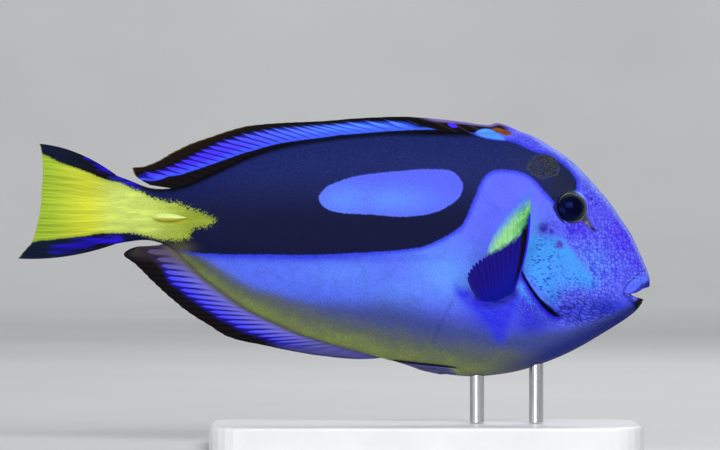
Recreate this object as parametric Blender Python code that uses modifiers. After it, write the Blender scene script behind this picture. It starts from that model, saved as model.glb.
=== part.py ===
"""A regal blue tang, life size, still, on a plain display stand.

Units are metres and +Z is up. The fish faces +X and its right flank faces -Y. The origin is the
middle of the underside of the stand's base. Outlines are written in millimetres and scaled by MM.
"""

import math

import bmesh
import bpy
import numpy as np
from mathutils import Matrix, Vector

MM = 0.001
GAP = 0.3  # left between nodes that touch

# The body. Each row is a distance along X and a height, read along the outline of the fish.
BACK = (
    (-107.5, 94.4), (-103.3, 93.1), (-99.8, 91.4), (-96.3, 90.1), (-91.0, 89.9), (-85.1, 90.7),
    (-78.8, 93.2), (-71.8, 96.5), (-61.3, 101.3), (-50.8, 104.8), (-36.8, 107.3), (-22.8, 109.0),
    (-8.8, 109.8), (5.3, 109.6), (19.3, 109.5), (26.0, 110.0), (31.0, 110.3), (34.5, 109.9),
    (37.6, 108.7), (40.8, 106.9), (43.8, 105.0),
    (50.8, 100.3), (57.8, 93.1), (64.8, 85.1), (68.3, 79.8), (71.8, 74.6), (74.9, 68.1),
    (77.4, 62.3), (78.2, 60.2), (78.6, 58.6),
)
BELLY = (
    (-107.5, 70.9), (-103.3, 71.6), (-97.0, 72.3), (-92.8, 71.2), (-87.5, 68.8), (-84.4, 66.0),
    (-78.8, 60.1), (-71.8, 54.9), (-61.3, 47.4), (-50.8, 42.7), (-43.8, 39.4), (-36.8, 37.1),
    (-26.3, 34.1), (-14.4, 30.8), (-5.3, 28.0), (5.3, 25.4), (16.8, 24.3), (26.3, 25.1),
    (33.3, 26.4), (40.3, 28.6), (47.3, 31.3), (54.3, 34.7), (61.3, 38.9), (68.3, 43.2),
    (72.5, 46.2), (74.6, 48.2), (76.2, 50.8), (77.4, 53.0), (78.2, 54.8), (78.6, 56.2),
)
HALF_WIDTH = (
    (-107.5, 1.0), (-103.3, 2.1), (-97.0, 3.5), (-90.0, 4.4), (-78.8, 6.0), (-61.3, 8.2),
    (-43.8, 10.3), (-26.3, 12.5), (-8.8, 14.5), (8.0, 15.6), (20.0, 16.0), (32.0, 15.6),
    (42.0, 14.4), (50.8, 12.6), (59.5, 10.2), (66.5, 7.8), (72.0, 5.7), (76.0, 3.8), (78.0, 2.2),
    (78.6, 1.3),
)
WIDEST_AT = ((-107.5, 0.5), (-60.0, 0.52), (0.0, 0.5), (40.0, 0.44), (60.0, 0.38), (78.6, 0.42))
KEEL = 1.15  # above 1 narrows the section towards the back and the belly
RING_POINTS = 36
STATION_STEP = 3.6

# The head
MOUTH = (
    (69.6, 53.5), (73.4, 53.6), (75.0, 54.3), (76.6, 55.4), (80.0, 56.0), (80.0, 51.3), (76.4, 51.4),
    (75.2, 51.7), (72.5, 52.5),
)
UPPER_LIP = ((69.2, 53.9), (72.2, 54.6), (74.6, 55.2), (76.4, 56.2), (77.2, 56.8))  # corner to front
LOWER_LIP = ((69.6, 52.9), (71.6, 52.0), (73.4, 51.1), (74.7, 50.3))
UPPER_LIP_RADIUS, LOWER_LIP_RADIUS = 1.3, 1.1
EYE_CENTRE = (51.0, 83.4)
EYE_RADIUS = 5.3
EYE_BULGE = 2.1
EYE_DEPTH = 3.8
RIM_RADIUS = 0.75
NOSTRILS = ((58.2, 86.4, 0.75), (59.7, 84.6, 0.6))
GROOVE = ((55.6, 78.9), (56.8, 78.1), (58.2, 77.0), (60.0, 75.2))
GROOVE_RADIUS = 0.7
GILL_SLIT = (
    (33.5, 62.5), (35.2, 57.6), (37.5, 53.9), (40.3, 51.1), (42.9, 49.1), (45.6, 46.8), (47.6, 45.3),
)
GILL_COVER = ((34.5, 120.0), (34.2, 100.0), (33.0, 84.0), (32.4, 72.0)) + GILL_SLIT + (
    (49.8, 40.0), (51.0, 32.0), (51.6, 20.0),
)
SLIT_RADIUS = 0.6
TAIL_CUT = -79.5

# The fins. A margin runs along a fin's free edge, from its first ray to its last.
DORSAL_BASE = (33.4, -85.3)
DORSAL_MARGIN = (
    (33.6, 110.8), (30.4, 111.4), (27.7, 112.5), (25.0, 113.1), (22.4, 112.4), (19.3, 112.6),
    (13.9, 113.4), (5.3, 114.4), (-8.8, 115.3), (-22.8, 114.8),
    (-36.8, 113.7), (-50.8, 113.1), (-61.3, 112.2), (-68.3, 110.5), (-75.3, 108.2), (-82.6, 105.6),
    (-88.2, 102.9), (-94.6, 99.3), (-99.4, 97.7), (-102.6, 97.4), (-101.6, 94.9), (-99.6, 93.1),
    (-96.2, 91.3),
)
DORSAL_LEAN = ((0.0, 0.0), (0.34, 0.4), (0.79, 0.79), (0.956, 0.93), (1.0, 1.0))
DORSAL_SPINES, DORSAL_SOFT_RAYS, SPINY_SHARE = 9, 20, 0.25
ANAL_BASE = (-14.6, -90.0)
ANAL_MARGIN = (
    (-15.6, 29.4), (-22.8, 30.2), (-36.8, 31.6), (-47.3, 33.3), (-57.8, 35.5), (-64.8, 36.9),
    (-69.5, 38.4), (-75.3, 42.0), (-82.3, 46.4), (-89.3, 52.0), (-96.3, 58.5), (-101.4, 63.6),
    (-105.6, 67.2), (-103.3, 69.0), (-99.8, 69.9), (-94.6, 70.0),
)
ANAL_LEAN = ((0.0, 0.0), (0.386, 0.443), (0.616, 0.62), (0.846, 0.806), (0.92, 0.876), (1.0, 1.0))
ANAL_SPINES, ANAL_SOFT_RAYS = 3, 19
CAUDAL_MARGIN = (
    (-135.0, 105.8), (-134.2, 102.7), (-133.8, 96.6), (-134.2, 89.4), (-134.8, 82.6), (-136.3, 75.6),
    (-137.6, 71.4), (-139.7, 69.0), (-142.5, 65.6),
)
CAUDAL_BOW = (2.2, -1.8)  # how far the first and last rays bow out of a straight line
CAUDAL_RAYS = 18
PECTORAL_BASE = ((30.0, 53.9), (18.4, 51.4))
PECTORAL_BASE_SAG = 1.6
PECTORAL_MARGIN = (
    (35.0, 89.4), (32.0, 85.6), (27.6, 81.4), (24.2, 76.8), (21.6, 71.9), (20.2, 67.1), (16.1, 63.6),
    (14.2, 59.4), (15.6, 55.2),
)
PECTORAL_BOW = 2.6  # how far the first ray bows forward of a straight line
PECTORAL_FLARE = 0.72  # how far out a ray leans for each unit that it rises
PECTORAL_CUP = 2.4
PECTORAL_RAYS = 15
PECTORAL_ROOT_DEPTH = 2.5
PELVIC_ROOT = ((12.6, 27.6), (12.6, 25.6))
PELVIC_MARGIN = ((-14.0, 30.4), (-9.0, 29.4), (-5.3, 28.0), (-1.8, 26.7), (1.8, 25.8), (5.3, 25.1))
PELVIC_RAYS = 4
MEMBRANE = 0.52
RIDGE_SHARE = 0.24  # a ray's ridge as a share of the gap between rays

# The caudal spine, which lies along a groove on each side of the tail
SPINE_LENGTH, SPINE_HEIGHT, SPINE_THICKNESS = 12.2, 3.0, 1.7
SPINE_CENTRE = (-89.0, 80.0)

# The stand
BASE_SIZE = (150.0, 72.0, 8.0)
BASE_CORNER, BASE_CHAMFER = 12.0, 1.2
ROD_RADIUS = 2.5
RODS = {"stand_rod_front": 38.9, "stand_rod_rear": 18.2}


def smooth(knots, at):
    """The value at a place on a curve through the knots that never overshoots them."""
    x, y = np.array(knots, float).T
    steps = np.diff(x)
    slopes = np.diff(y) / steps
    tangents = np.zeros_like(y)
    tangents[0], tangents[-1] = slopes[0], slopes[-1]
    same_way = slopes[1:] * slopes[:-1] > 0
    first, second = 2 * steps[1:] + steps[:-1], steps[1:] + 2 * steps[:-1]
    safe = np.where(same_way, slopes[:-1], 1.0), np.where(same_way, slopes[1:], 1.0)
    mean = (first + second) / (first / safe[0] + second / safe[1])
    tangents[1:-1] = np.where(same_way, mean, 0.0)
    i = int(np.clip(np.searchsorted(x, at) - 1, 0, len(x) - 2))
    t = (np.clip(at, x[0], x[-1]) - x[i]) / steps[i]
    return float(
        y[i] * (1 + 2 * t) * (1 - t) ** 2
        + y[i + 1] * t * t * (3 - 2 * t)
        + steps[i] * t * (1 - t) * (tangents[i] * (1 - t) - tangents[i + 1] * t)
    )


def along(points, share):
    """The point at a share of the length of a line through the points."""
    line = np.array(points, float)
    lengths = np.linalg.norm(np.diff(line, axis=0), axis=1)
    run = np.concatenate([[0.0], np.cumsum(lengths)]) / lengths.sum()
    return np.array([smooth(tuple(zip(run, column)), share) for column in line.T])


def section(x):
    """The body's cross-section at x: back, belly, height of the widest point and half width."""
    back, belly = smooth(BACK, x), smooth(BELLY, x)
    middle = belly + smooth(WIDEST_AT, x) * (back - belly)
    return back, belly, middle, smooth(HALF_WIDTH, x)


def flank(x, z):
    """Half the body's width at a place seen from the side."""
    back, belly, middle, half = section(x)
    reach = back - middle if z > middle else middle - belly
    return half * max(0.0, 1 - ((z - middle) / reach) ** 2) ** (KEEL / 2)


def flank_normal(x, z, side):
    """The way out of the flank at a place seen from the side."""
    step = 0.5
    slope_x = (flank(x + step, z) - flank(x - step, z)) / (2 * step)
    slope_z = (flank(x, z + step) - flank(x, z - step)) / (2 * step)
    return Vector((-slope_x, side, -slope_z)).normalized()


def material(name, colour, roughness):
    shade = bpy.data.materials.new(name)
    shade.use_nodes = True
    surface = shade.node_tree.nodes["Principled BSDF"]
    surface.inputs["Base Color"].default_value = (*colour, 1.0)
    surface.inputs["Roughness"].default_value = roughness
    surface.inputs["Metallic"].default_value = 0.0
    return shade


def add(name, mesh, collection, shade=None):
    """Makes an object of a mesh and puts it in a collection."""
    body = bpy.data.objects.new(name, mesh)
    collection.objects.link(body)
    if shade:
        mesh.materials.clear()
        mesh.materials.append(shade)
    if collection.name == "cutters":
        body.hide_render = True
        body.display_type = "WIRE"
    return body


def to_mesh(name, shape, scale=MM):
    """Turns a bmesh in millimetres into a mesh in metres, with its faces pointing out."""
    bmesh.ops.recalc_face_normals(shape, faces=shape.faces)
    bmesh.ops.scale(shape, vec=(scale, scale, scale), verts=shape.verts)
    mesh = bpy.data.meshes.new(name)
    shape.to_mesh(mesh)
    shape.free()
    return mesh


def loft(rings):
    """A closed surface through rings of points, capped at both ends."""
    shape = bmesh.new()
    made = [[shape.verts.new(point) for point in ring] for ring in rings]
    for first, second in zip(made, made[1:]):
        for k in range(len(first)):
            n = (k + 1) % len(first)
            shape.faces.new((first[k], first[n], second[n], second[k]))
    shape.faces.new(made[0])
    shape.faces.new(list(reversed(made[-1])))
    return shape


def stations():
    """Places along the body, closer where the snout turns in."""
    tail, snout = BACK[0][0], BACK[-1][0]
    blunt = 70.0
    count = round((blunt - tail) / STATION_STEP)
    places = [tail + (blunt - tail) * i / count for i in range(count)]
    front = 8
    places += [blunt + (snout - blunt) * math.sin(i / front * math.pi / 2) for i in range(front + 1)]
    return places


def body_mesh(name, grow=0.0):
    """The head, trunk and tail as one form, made larger all round by grow."""
    rings = []
    for x in stations():
        back, belly, middle, half = section(x)
        ring = []
        for k in range(RING_POINTS):
            turn = 2 * math.pi * k / RING_POINTS
            up, out = math.sin(turn), math.cos(turn)
            reach = (back - middle if up > 0 else middle - belly) + grow
            y = (half + grow) * math.copysign(abs(out) ** KEEL, out)
            ring.append((x, y, middle + up * reach))
        rings.append(ring)
    if grow:
        rings[0] = [(x - grow, y, z) for x, y, z in rings[0]]
        rings[-1] = [(x + grow, y, z) for x, y, z in rings[-1]]
    return to_mesh(name, loft(rings))


def tube(name, points, radius, collection, sides=8):
    """A closed round tube through points, with its ends tapered to half."""
    path = [Vector(point) for point in points]
    rings = []
    for i, point in enumerate(path):
        ahead = path[min(i + 1, len(path) - 1)] - path[max(i - 1, 0)]
        frame = ahead.to_track_quat("Z", "Y")
        size = radius * (0.5 if i in (0, len(path) - 1) else 1.0)
        turns = [2 * math.pi * k / sides for k in range(sides)]
        rings.append([point + frame @ Vector((size * math.cos(a), size * math.sin(a), 0)) for a in turns])
    return add(name, to_mesh(name, loft(rings)), collection)


def combine(body, operation, collection):
    """Joins or cuts a body with a whole collection, applies it and removes the collection's objects."""
    change = body.modifiers.new("change", "BOOLEAN")
    change.operation = operation
    change.operand_type = "COLLECTION"
    change.collection = collection
    apply(body)
    for piece in list(collection.objects):
        bpy.data.objects.remove(piece, do_unlink=True)


def cut(body, cutter):
    """Cuts one body clear of one cutter, which stays."""
    change = body.modifiers.new("cut", "BOOLEAN")
    change.operation = "DIFFERENCE"
    change.object = cutter
    apply(body)
    keep_largest(body)


def apply(body):
    """Replaces an object's mesh with what its modifiers make of it."""
    bpy.context.view_layer.update()
    seen = body.evaluated_get(bpy.context.evaluated_depsgraph_get())
    shades = list(body.data.materials)
    body.data = bpy.data.meshes.new_from_object(seen)
    body.modifiers.clear()
    body.data.materials.clear()
    for shade in shades[:1]:
        body.data.materials.append(shade)
    for face in body.data.polygons:
        face.material_index = 0


def islands(shape):
    """The separate closed surfaces of a bmesh, as lists of faces, largest first."""
    left, found = set(shape.faces), []
    while left:
        group, edge = set(), [left.pop()]
        while edge:
            face = edge.pop()
            group.add(face)
            near = {other for side in face.edges for other in side.link_faces} & left
            left -= near
            edge += near
        found.append(list(group))
    return sorted(found, key=lambda faces: -sum(face.calc_area() for face in faces))


def keep_only(body, choose):
    """Keeps the one closed surface of a body that choose picks from its islands."""
    shape = bmesh.new()
    shape.from_mesh(body.data)
    groups = islands(shape)
    kept = set(choose(groups))
    gone = [face for faces in groups for face in faces if face not in kept]
    bmesh.ops.delete(shape, geom=gone, context="FACES")
    shape.to_mesh(body.data)
    shape.free()


def keep_largest(body):
    keep_only(body, lambda groups: groups[0])


def shade_smooth(body, degrees=40):
    body.data.shade_smooth()
    body.data.set_sharp_from_angle(angle=math.radians(degrees))


def lip(name, line, radius, collection):
    """One lip: a tube on the snout from one corner of the mouth, round the front, to the other."""
    half = []
    count = 7
    for i in range(count):
        forward = i / count
        x, z = along(line, forward)
        half.append((x, flank(x, z) * (1 - forward**4) ** 0.5, z))
    front = [(line[-1][0] + 0.2, 0.0, line[-1][1])]
    other = [(x, -y, z) for x, y, z in reversed(half)]
    tube(name, half + front + other, radius, collection, sides=10)


def eye_mesh(name, side, grow=0.0):
    """An eyeball: a ball flattened along the flank's normal, sunk until EYE_RADIUS of it shows."""
    x, z = EYE_CENTRE
    out = flank_normal(x, z, side)
    sink = EYE_DEPTH - EYE_BULGE
    full = EYE_RADIUS / math.sqrt(1 - (sink / EYE_DEPTH) ** 2)
    shape = bmesh.new()
    bmesh.ops.create_uvsphere(shape, u_segments=20, v_segments=12, radius=1.0)
    bmesh.ops.scale(shape, vec=(full + grow, full + grow, EYE_DEPTH + grow), verts=shape.verts)
    centre = Vector((x, side * flank(x, z), z)) - out * sink
    place = Matrix.Translation(centre) @ out.to_track_quat("Z", "Y").to_matrix().to_4x4()
    bmesh.ops.transform(shape, matrix=place, verts=shape.verts)
    return to_mesh(name, shape)


def orbit(name, side, collection):
    """The low rim of skin round an eye."""
    x, z = EYE_CENTRE
    out = flank_normal(x, z, side)
    frame = out.to_track_quat("Z", "Y")
    centre = Vector((x, side * flank(x, z), z)) - out * 0.15
    around, across, ring = 24, 6, EYE_RADIUS + 0.9
    rings = []
    for i in range(around):
        turn = 2 * math.pi * i / around
        ray = frame @ Vector((math.cos(turn), math.sin(turn), 0))
        corners = [2 * math.pi * k / across for k in range(across)]
        rim = [ray * math.cos(a) + out * math.sin(a) for a in corners]
        rings.append([centre + ray * ring + corner * RIM_RADIUS for corner in rim])
    shape = bmesh.new()
    made = [[shape.verts.new(point) for point in points] for points in rings]
    for i in range(around):
        for k in range(across):
            n, m = (i + 1) % around, (k + 1) % across
            shape.faces.new((made[i][k], made[i][m], made[n][m], made[n][k]))
    add(name, to_mesh(name, shape), collection)


def slab(name, points, thickness, reach, collection):
    """A thin upright sheet that follows points seen from the side, to part the body with."""
    line = [Vector((x, 0, z)) for x, z in points]
    rings = []
    for side in (-reach, reach):
        left, right = [], []
        for i, point in enumerate(line):
            ahead = (line[min(i + 1, len(line) - 1)] - line[max(i - 1, 0)]).normalized()
            across = Vector((-ahead.z, 0, ahead.x)) * thickness / 2
            left.append(point + across + Vector((0, side, 0)))
            right.append(point - across + Vector((0, side, 0)))
        rings.append(left + list(reversed(right)))
    return add(name, to_mesh(name, loft(rings)), collection)


def head_details(side, name, cutters):
    """What is cut into one side of the head: nostrils, the groove before the eye and the gill slit."""
    for i, (x, z, radius) in enumerate(NOSTRILS):
        out = flank_normal(x, z, side)
        middle = Vector((x, side * flank(x, z), z))
        path = [middle + out * reach for reach in (-1.2, -0.6, 1.0, 2.0)]
        tube(f"nostril_{name}_{i}", path, radius, cutters)
    groove = [Vector((x, side * flank(x, z), z)) + flank_normal(x, z, side) * 0.1 for x, z in GROOVE]
    tube(f"groove_{name}", groove, GROOVE_RADIUS, cutters)
    slit = [Vector((x, side * flank(x, z), z)) + flank_normal(x, z, side) * 0.1 for x, z in GILL_SLIT]
    tube(f"slit_{name}", slit, SLIT_RADIUS, cutters)


def make_body(parts, joined, cutters, shades):
    """The head, trunk and tail: one form, with its details joined and cut, then parted."""
    whole = add("body", body_mesh("body"), parts)
    lip("upper_lip", UPPER_LIP, UPPER_LIP_RADIUS, joined)
    lip("lower_lip", LOWER_LIP, LOWER_LIP_RADIUS, joined)
    for name, side in (("left", 1), ("right", -1)):
        orbit(f"orbit_{name}", side, joined)
    combine(whole, "UNION", joined)
    keep_largest(whole)
    rings = [[(x, side, z) for x, z in MOUTH] for side in (-9.0, 9.0)]
    add("mouth", to_mesh("mouth", loft(rings)), cutters)
    for name, side in (("left", 1), ("right", -1)):
        add(f"socket_{name}", eye_mesh(f"socket_{name}", side, GAP), cutters)
        head_details(side, name, cutters)
    slab("gill_parting", GILL_COVER, GAP, 40.0, cutters)
    slab("tail_parting", ((TAIL_CUT, 125.0), (TAIL_CUT, 10.0)), GAP, 40.0, cutters)
    combine(whole, "DIFFERENCE", cutters)

    def middle_x(faces):
        return sum(face.calc_center_median().x * face.calc_area() for face in faces) / sum(
            face.calc_area() for face in faces
        )

    for name, rank in (("head", 0), ("trunk", 1), ("tail_stalk", 2)):
        piece = add(name, whole.data.copy(), parts, shades[name])
        keep_only(piece, lambda groups: sorted(groups[:3], key=middle_x, reverse=True)[rank])
        shade_smooth(piece)
    bpy.data.objects.remove(whole, do_unlink=True)


def fin(name, rays, place, thickness, steps, collection, shade):
    """A fin as one thin form. place(across, up) is a point of its middle surface, both from 0 to 1.

    Each ray is a ridge: a crest between two feet. thickness gives the crest's at the root and tip.
    """
    count = len(rays)
    columns = []
    for i, across in enumerate(rays):
        before = across - rays[i - 1] if i else 0.0
        after = rays[i + 1] - across if i < count - 1 else 0.0
        if i:
            columns.append((across - before * RIDGE_SHARE, False))
        columns.append((across, True))
        if i < count - 1:
            columns.append((across + after * RIDGE_SHARE, False))
    root, tip = thickness
    shape = bmesh.new()
    weights = shape.verts.layers.deform.verify()
    grid = []
    for across, crest in columns:
        line = []
        for j in range(steps + 1):
            up = j / steps
            point = shape.verts.new(place(across, up))
            ray = root + (tip - root) * up
            point[weights][0] = (ray if crest else min(ray, MEMBRANE)) / root
            line.append(point)
        grid.append(line)
    for first, second in zip(grid, grid[1:]):
        for j in range(steps):
            a, b, c, d = first[j], second[j], second[j + 1], first[j + 1]
            shape.faces.new((a, b, c))
            shape.faces.new((a, c, d))
    body = add(name, to_mesh(name, shape), collection, shade)
    body.vertex_groups.new(name="thickness")
    solid = body.modifiers.new("thickness", "SOLIDIFY")
    solid.thickness = root * MM
    solid.offset = 0.0
    solid.vertex_group = "thickness"
    apply(body)
    shade_smooth(body, 30)
    return body


def even(count):
    return [i / (count - 1) for i in range(count)]


def dorsal_place(across, up):
    x = DORSAL_BASE[0] + (DORSAL_BASE[1] - DORSAL_BASE[0]) * across
    root = Vector((x, 0, smooth(BACK, x) + GAP))
    edge = along(DORSAL_MARGIN, smooth(DORSAL_LEAN, across))
    return root.lerp(Vector((edge[0], 0, edge[1])), up)


def anal_place(across, up):
    x = ANAL_BASE[0] + (ANAL_BASE[1] - ANAL_BASE[0]) * across
    root = Vector((x, 0, smooth(BELLY, x) - GAP))
    edge = along(ANAL_MARGIN, smooth(ANAL_LEAN, across))
    return root.lerp(Vector((edge[0], 0, edge[1])), up)


def caudal_place(across, up):
    x = BACK[0][0] - GAP
    top, bottom = BACK[0][1], BELLY[0][1]
    root = Vector((x, 0, top + (bottom - top) * across))
    edge = along(CAUDAL_MARGIN, across)
    bow = CAUDAL_BOW[0] * (1 - across) ** 2 + CAUDAL_BOW[1] * across**2
    return root.lerp(Vector((edge[0], 0, edge[1])), up) + Vector((0, 0, 4 * bow * up * (1 - up)))


def pectoral_place(side):
    """The raised pectoral fin of one side: its rays rise and lean out from the flank."""
    (front_x, front_z), (rear_x, rear_z) = PECTORAL_BASE

    def place(across, up):
        arch = 4 * across * (1 - across)
        x = front_x + (rear_x - front_x) * across
        z = front_z + (rear_z - front_z) * across - PECTORAL_BASE_SAG * arch
        edge = along(PECTORAL_MARGIN, across)
        root = Vector((x, flank(x, z), z))
        rise = Vector((edge[0] - x, 0, edge[1] - z))
        lean = rise.length * PECTORAL_FLARE
        tip = Vector((edge[0], root.y + lean, edge[1]))
        inward = (tip - root).normalized() * PECTORAL_ROOT_DEPTH
        point = (root - inward).lerp(tip, up)
        point.x += 4 * PECTORAL_BOW * up * (1 - up) * (1 - across) ** 2
        point.y += PECTORAL_CUP * arch * up
        point.y *= side
        return point

    return place


def pelvic_place(side):
    """A pelvic fin folded back along the belly."""
    (upper_x, upper_z), (lower_x, lower_z) = PELVIC_ROOT

    def place(across, up):
        edge = along(PELVIC_MARGIN, across)
        x = (upper_x + (lower_x - upper_x) * across) * (1 - up) + edge[0] * up
        z = (upper_z + (lower_z - upper_z) * across) * (1 - up) + edge[1] * up
        lowest = smooth(BELLY, x) + 0.4
        return Vector((x, side * (max(flank(x, max(z, lowest)), 0.4) + 0.85), z))

    return place


def make_fins(parts, clearance, shades):
    """All the fins, each cut clear of the body where its root meets it."""
    spines = [SPINY_SHARE * i / DORSAL_SPINES for i in range(DORSAL_SPINES)]
    soft = [
        SPINY_SHARE + (1 - SPINY_SHARE) * i / (DORSAL_SOFT_RAYS - 1) for i in range(DORSAL_SOFT_RAYS)
    ]
    fin("dorsal_fin", spines + soft, dorsal_place, (1.15, 0.6), 3, parts, shades["dorsal_fin"])
    fin("anal_fin", even(ANAL_SPINES + ANAL_SOFT_RAYS), anal_place, (1.1, 0.6), 3, parts, shades["anal_fin"])
    fin("caudal_fin", even(CAUDAL_RAYS), caudal_place, (1.8, 0.55), 4, parts, shades["caudal_fin"])
    for name, side in (("left", 1), ("right", -1)):
        pectoral = fin(
            f"pectoral_fin_{name}", even(PECTORAL_RAYS), pectoral_place(side), (1.5, 0.5), 5, parts,
            shades["pectoral_fin"],
        )
        cut(pectoral, clearance)
        pelvic = fin(
            f"pelvic_fin_{name}", even(PELVIC_RAYS), pelvic_place(side), (0.9, 0.5), 4, parts,
            shades["pelvic_fin"],
        )
        cut(pelvic, clearance)


def make_eyes(parts, shades):
    for name, side in (("left", 1), ("right", -1)):
        eye = add(f"eye_{name}", eye_mesh(f"eye_{name}", side), parts, shades["eye"])
        shade_smooth(eye)


def make_tail_spines(parts, clearance, shades):
    """The blade on each side of the tail, whose point lies towards the head."""
    x, z = SPINE_CENTRE
    for name, side in (("left", 1), ("right", -1)):
        out = flank_normal(x, z, side)
        ahead = Vector((1, 0, 0)) - out * out.x
        ahead.normalize()
        up = out.cross(ahead) * side
        rings = []
        places = (-0.5, -0.38, -0.15, 0.1, 0.3, 0.44, 0.5)
        heights = (0.2, 0.75, 1.0, 0.85, 0.5, 0.18, 0.06)
        for place, height in zip(places, heights):
            middle = Vector((x, side * flank(x, z), z)) + ahead * SPINE_LENGTH * place
            middle += up * SPINE_HEIGHT * 0.12 * place
            ring = []
            for k in range(8):
                turn = 2 * math.pi * k / 8
                rise = up * math.sin(turn) * SPINE_HEIGHT / 2 * height
                ring.append(middle + rise + out * math.cos(turn) * SPINE_THICKNESS * math.sqrt(height))
            rings.append(ring)
        blade = add(f"tail_spine_{name}", to_mesh("tail_spine", loft(rings)), parts, shades["tail_spine"])
        cut(blade, clearance)
        shade_smooth(blade)


def make_stand(parts, clearance, shades):
    """A flat base with rounded corners, and two short rods up to the belly."""
    length, width, height = BASE_SIZE
    shape = bmesh.new()
    bmesh.ops.create_cube(shape, size=1.0)
    bmesh.ops.scale(shape, vec=BASE_SIZE, verts=shape.verts)
    bmesh.ops.translate(shape, vec=(0, 0, height / 2), verts=shape.verts)
    upright = [edge for edge in shape.edges if abs(edge.verts[0].co.z - edge.verts[1].co.z) > height / 2]
    bmesh.ops.bevel(shape, geom=upright, offset=BASE_CORNER, segments=6, affect="EDGES", profile=0.5)
    top = [edge for edge in shape.edges if all(vert.co.z > height - 0.01 for vert in edge.verts)]
    bmesh.ops.bevel(shape, geom=top, offset=BASE_CHAMFER, segments=2, affect="EDGES", profile=0.5)
    base = add("stand_base", to_mesh("stand_base", shape), parts, shades["stand_base"])
    shade_smooth(base, 30)
    for name, x in RODS.items():
        foot, top_end = height + GAP, smooth(BELLY, x) + 4.0
        shape = bmesh.new()
        bmesh.ops.create_cone(
            shape, cap_ends=True, segments=20, radius1=ROD_RADIUS, radius2=ROD_RADIUS, depth=top_end - foot
        )
        bmesh.ops.translate(shape, vec=(x, 0, (top_end + foot) / 2), verts=shape.verts)
        rod = add(name, to_mesh(name, shape), parts, shades["stand_rod"])
        cut(rod, clearance)
        shade_smooth(rod)


def make_materials():
    """Each part's plain colour and roughness."""
    looks = {
        "head": ((0.07, 0.16, 0.85), 0.4),
        "trunk": ((0.09, 0.12, 0.8), 0.4),
        "tail_stalk": ((0.6, 0.62, 0.05), 0.45),
        "dorsal_fin": ((0.08, 0.1, 0.5), 0.45),
        "anal_fin": ((0.1, 0.1, 0.42), 0.45),
        "caudal_fin": ((0.6, 0.62, 0.05), 0.45),
        "pectoral_fin": ((0.03, 0.04, 0.25), 0.45),
        "pelvic_fin": ((0.25, 0.25, 0.4), 0.45),
        "eye": ((0.01, 0.014, 0.02), 0.08),
        "tail_spine": ((0.7, 0.72, 0.3), 0.35),
        "stand_base": ((0.75, 0.75, 0.76), 0.35),
        "stand_rod": ((0.72, 0.73, 0.75), 0.2),
    }
    return {name: material(name, colour, roughness) for name, (colour, roughness) in looks.items()}


def main():
    for old in list(bpy.data.objects):
        bpy.data.objects.remove(old, do_unlink=True)
    scene = bpy.context.scene.collection
    parts = bpy.data.collections.new("regal_blue_tang")
    joined = bpy.data.collections.new("joined")
    cutters = bpy.data.collections.new("cutters")
    for collection in (parts, joined, cutters):
        scene.children.link(collection)
    shades = make_materials()
    make_body(parts, joined, cutters, shades)
    clearance = add("clearance", body_mesh("clearance", GAP), cutters)
    make_eyes(parts, shades)
    make_fins(parts, clearance, shades)
    make_tail_spines(parts, clearance, shades)
    make_stand(parts, clearance, shades)


main()
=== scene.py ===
import itertools
import math

import bmesh
import bpy
import numpy as np
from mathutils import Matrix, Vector


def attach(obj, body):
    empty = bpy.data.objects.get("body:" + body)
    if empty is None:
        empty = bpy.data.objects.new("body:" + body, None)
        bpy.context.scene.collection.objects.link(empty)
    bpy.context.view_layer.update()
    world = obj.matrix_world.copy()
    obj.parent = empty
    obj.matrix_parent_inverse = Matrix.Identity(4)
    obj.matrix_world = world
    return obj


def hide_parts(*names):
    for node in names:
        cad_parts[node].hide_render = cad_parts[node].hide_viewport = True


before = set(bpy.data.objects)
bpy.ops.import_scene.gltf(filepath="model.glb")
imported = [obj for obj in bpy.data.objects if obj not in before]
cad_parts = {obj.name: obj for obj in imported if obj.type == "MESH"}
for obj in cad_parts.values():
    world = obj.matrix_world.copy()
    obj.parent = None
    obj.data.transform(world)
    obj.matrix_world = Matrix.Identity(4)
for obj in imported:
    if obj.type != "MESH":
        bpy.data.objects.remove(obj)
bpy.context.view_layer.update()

MM = 0.001
BODY = "root"

# The view. A distance in the picture becomes a size at the fish's middle plane.
PIXEL = 0.35
PICTURE_CENTRE = (360.0, 225.0)
FRAME_PIXELS = 720
WORLD_ZERO = (425.0, 446.0)  # where the frame's origin falls in the picture
CAMERA_DISTANCE = 1600.0

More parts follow.
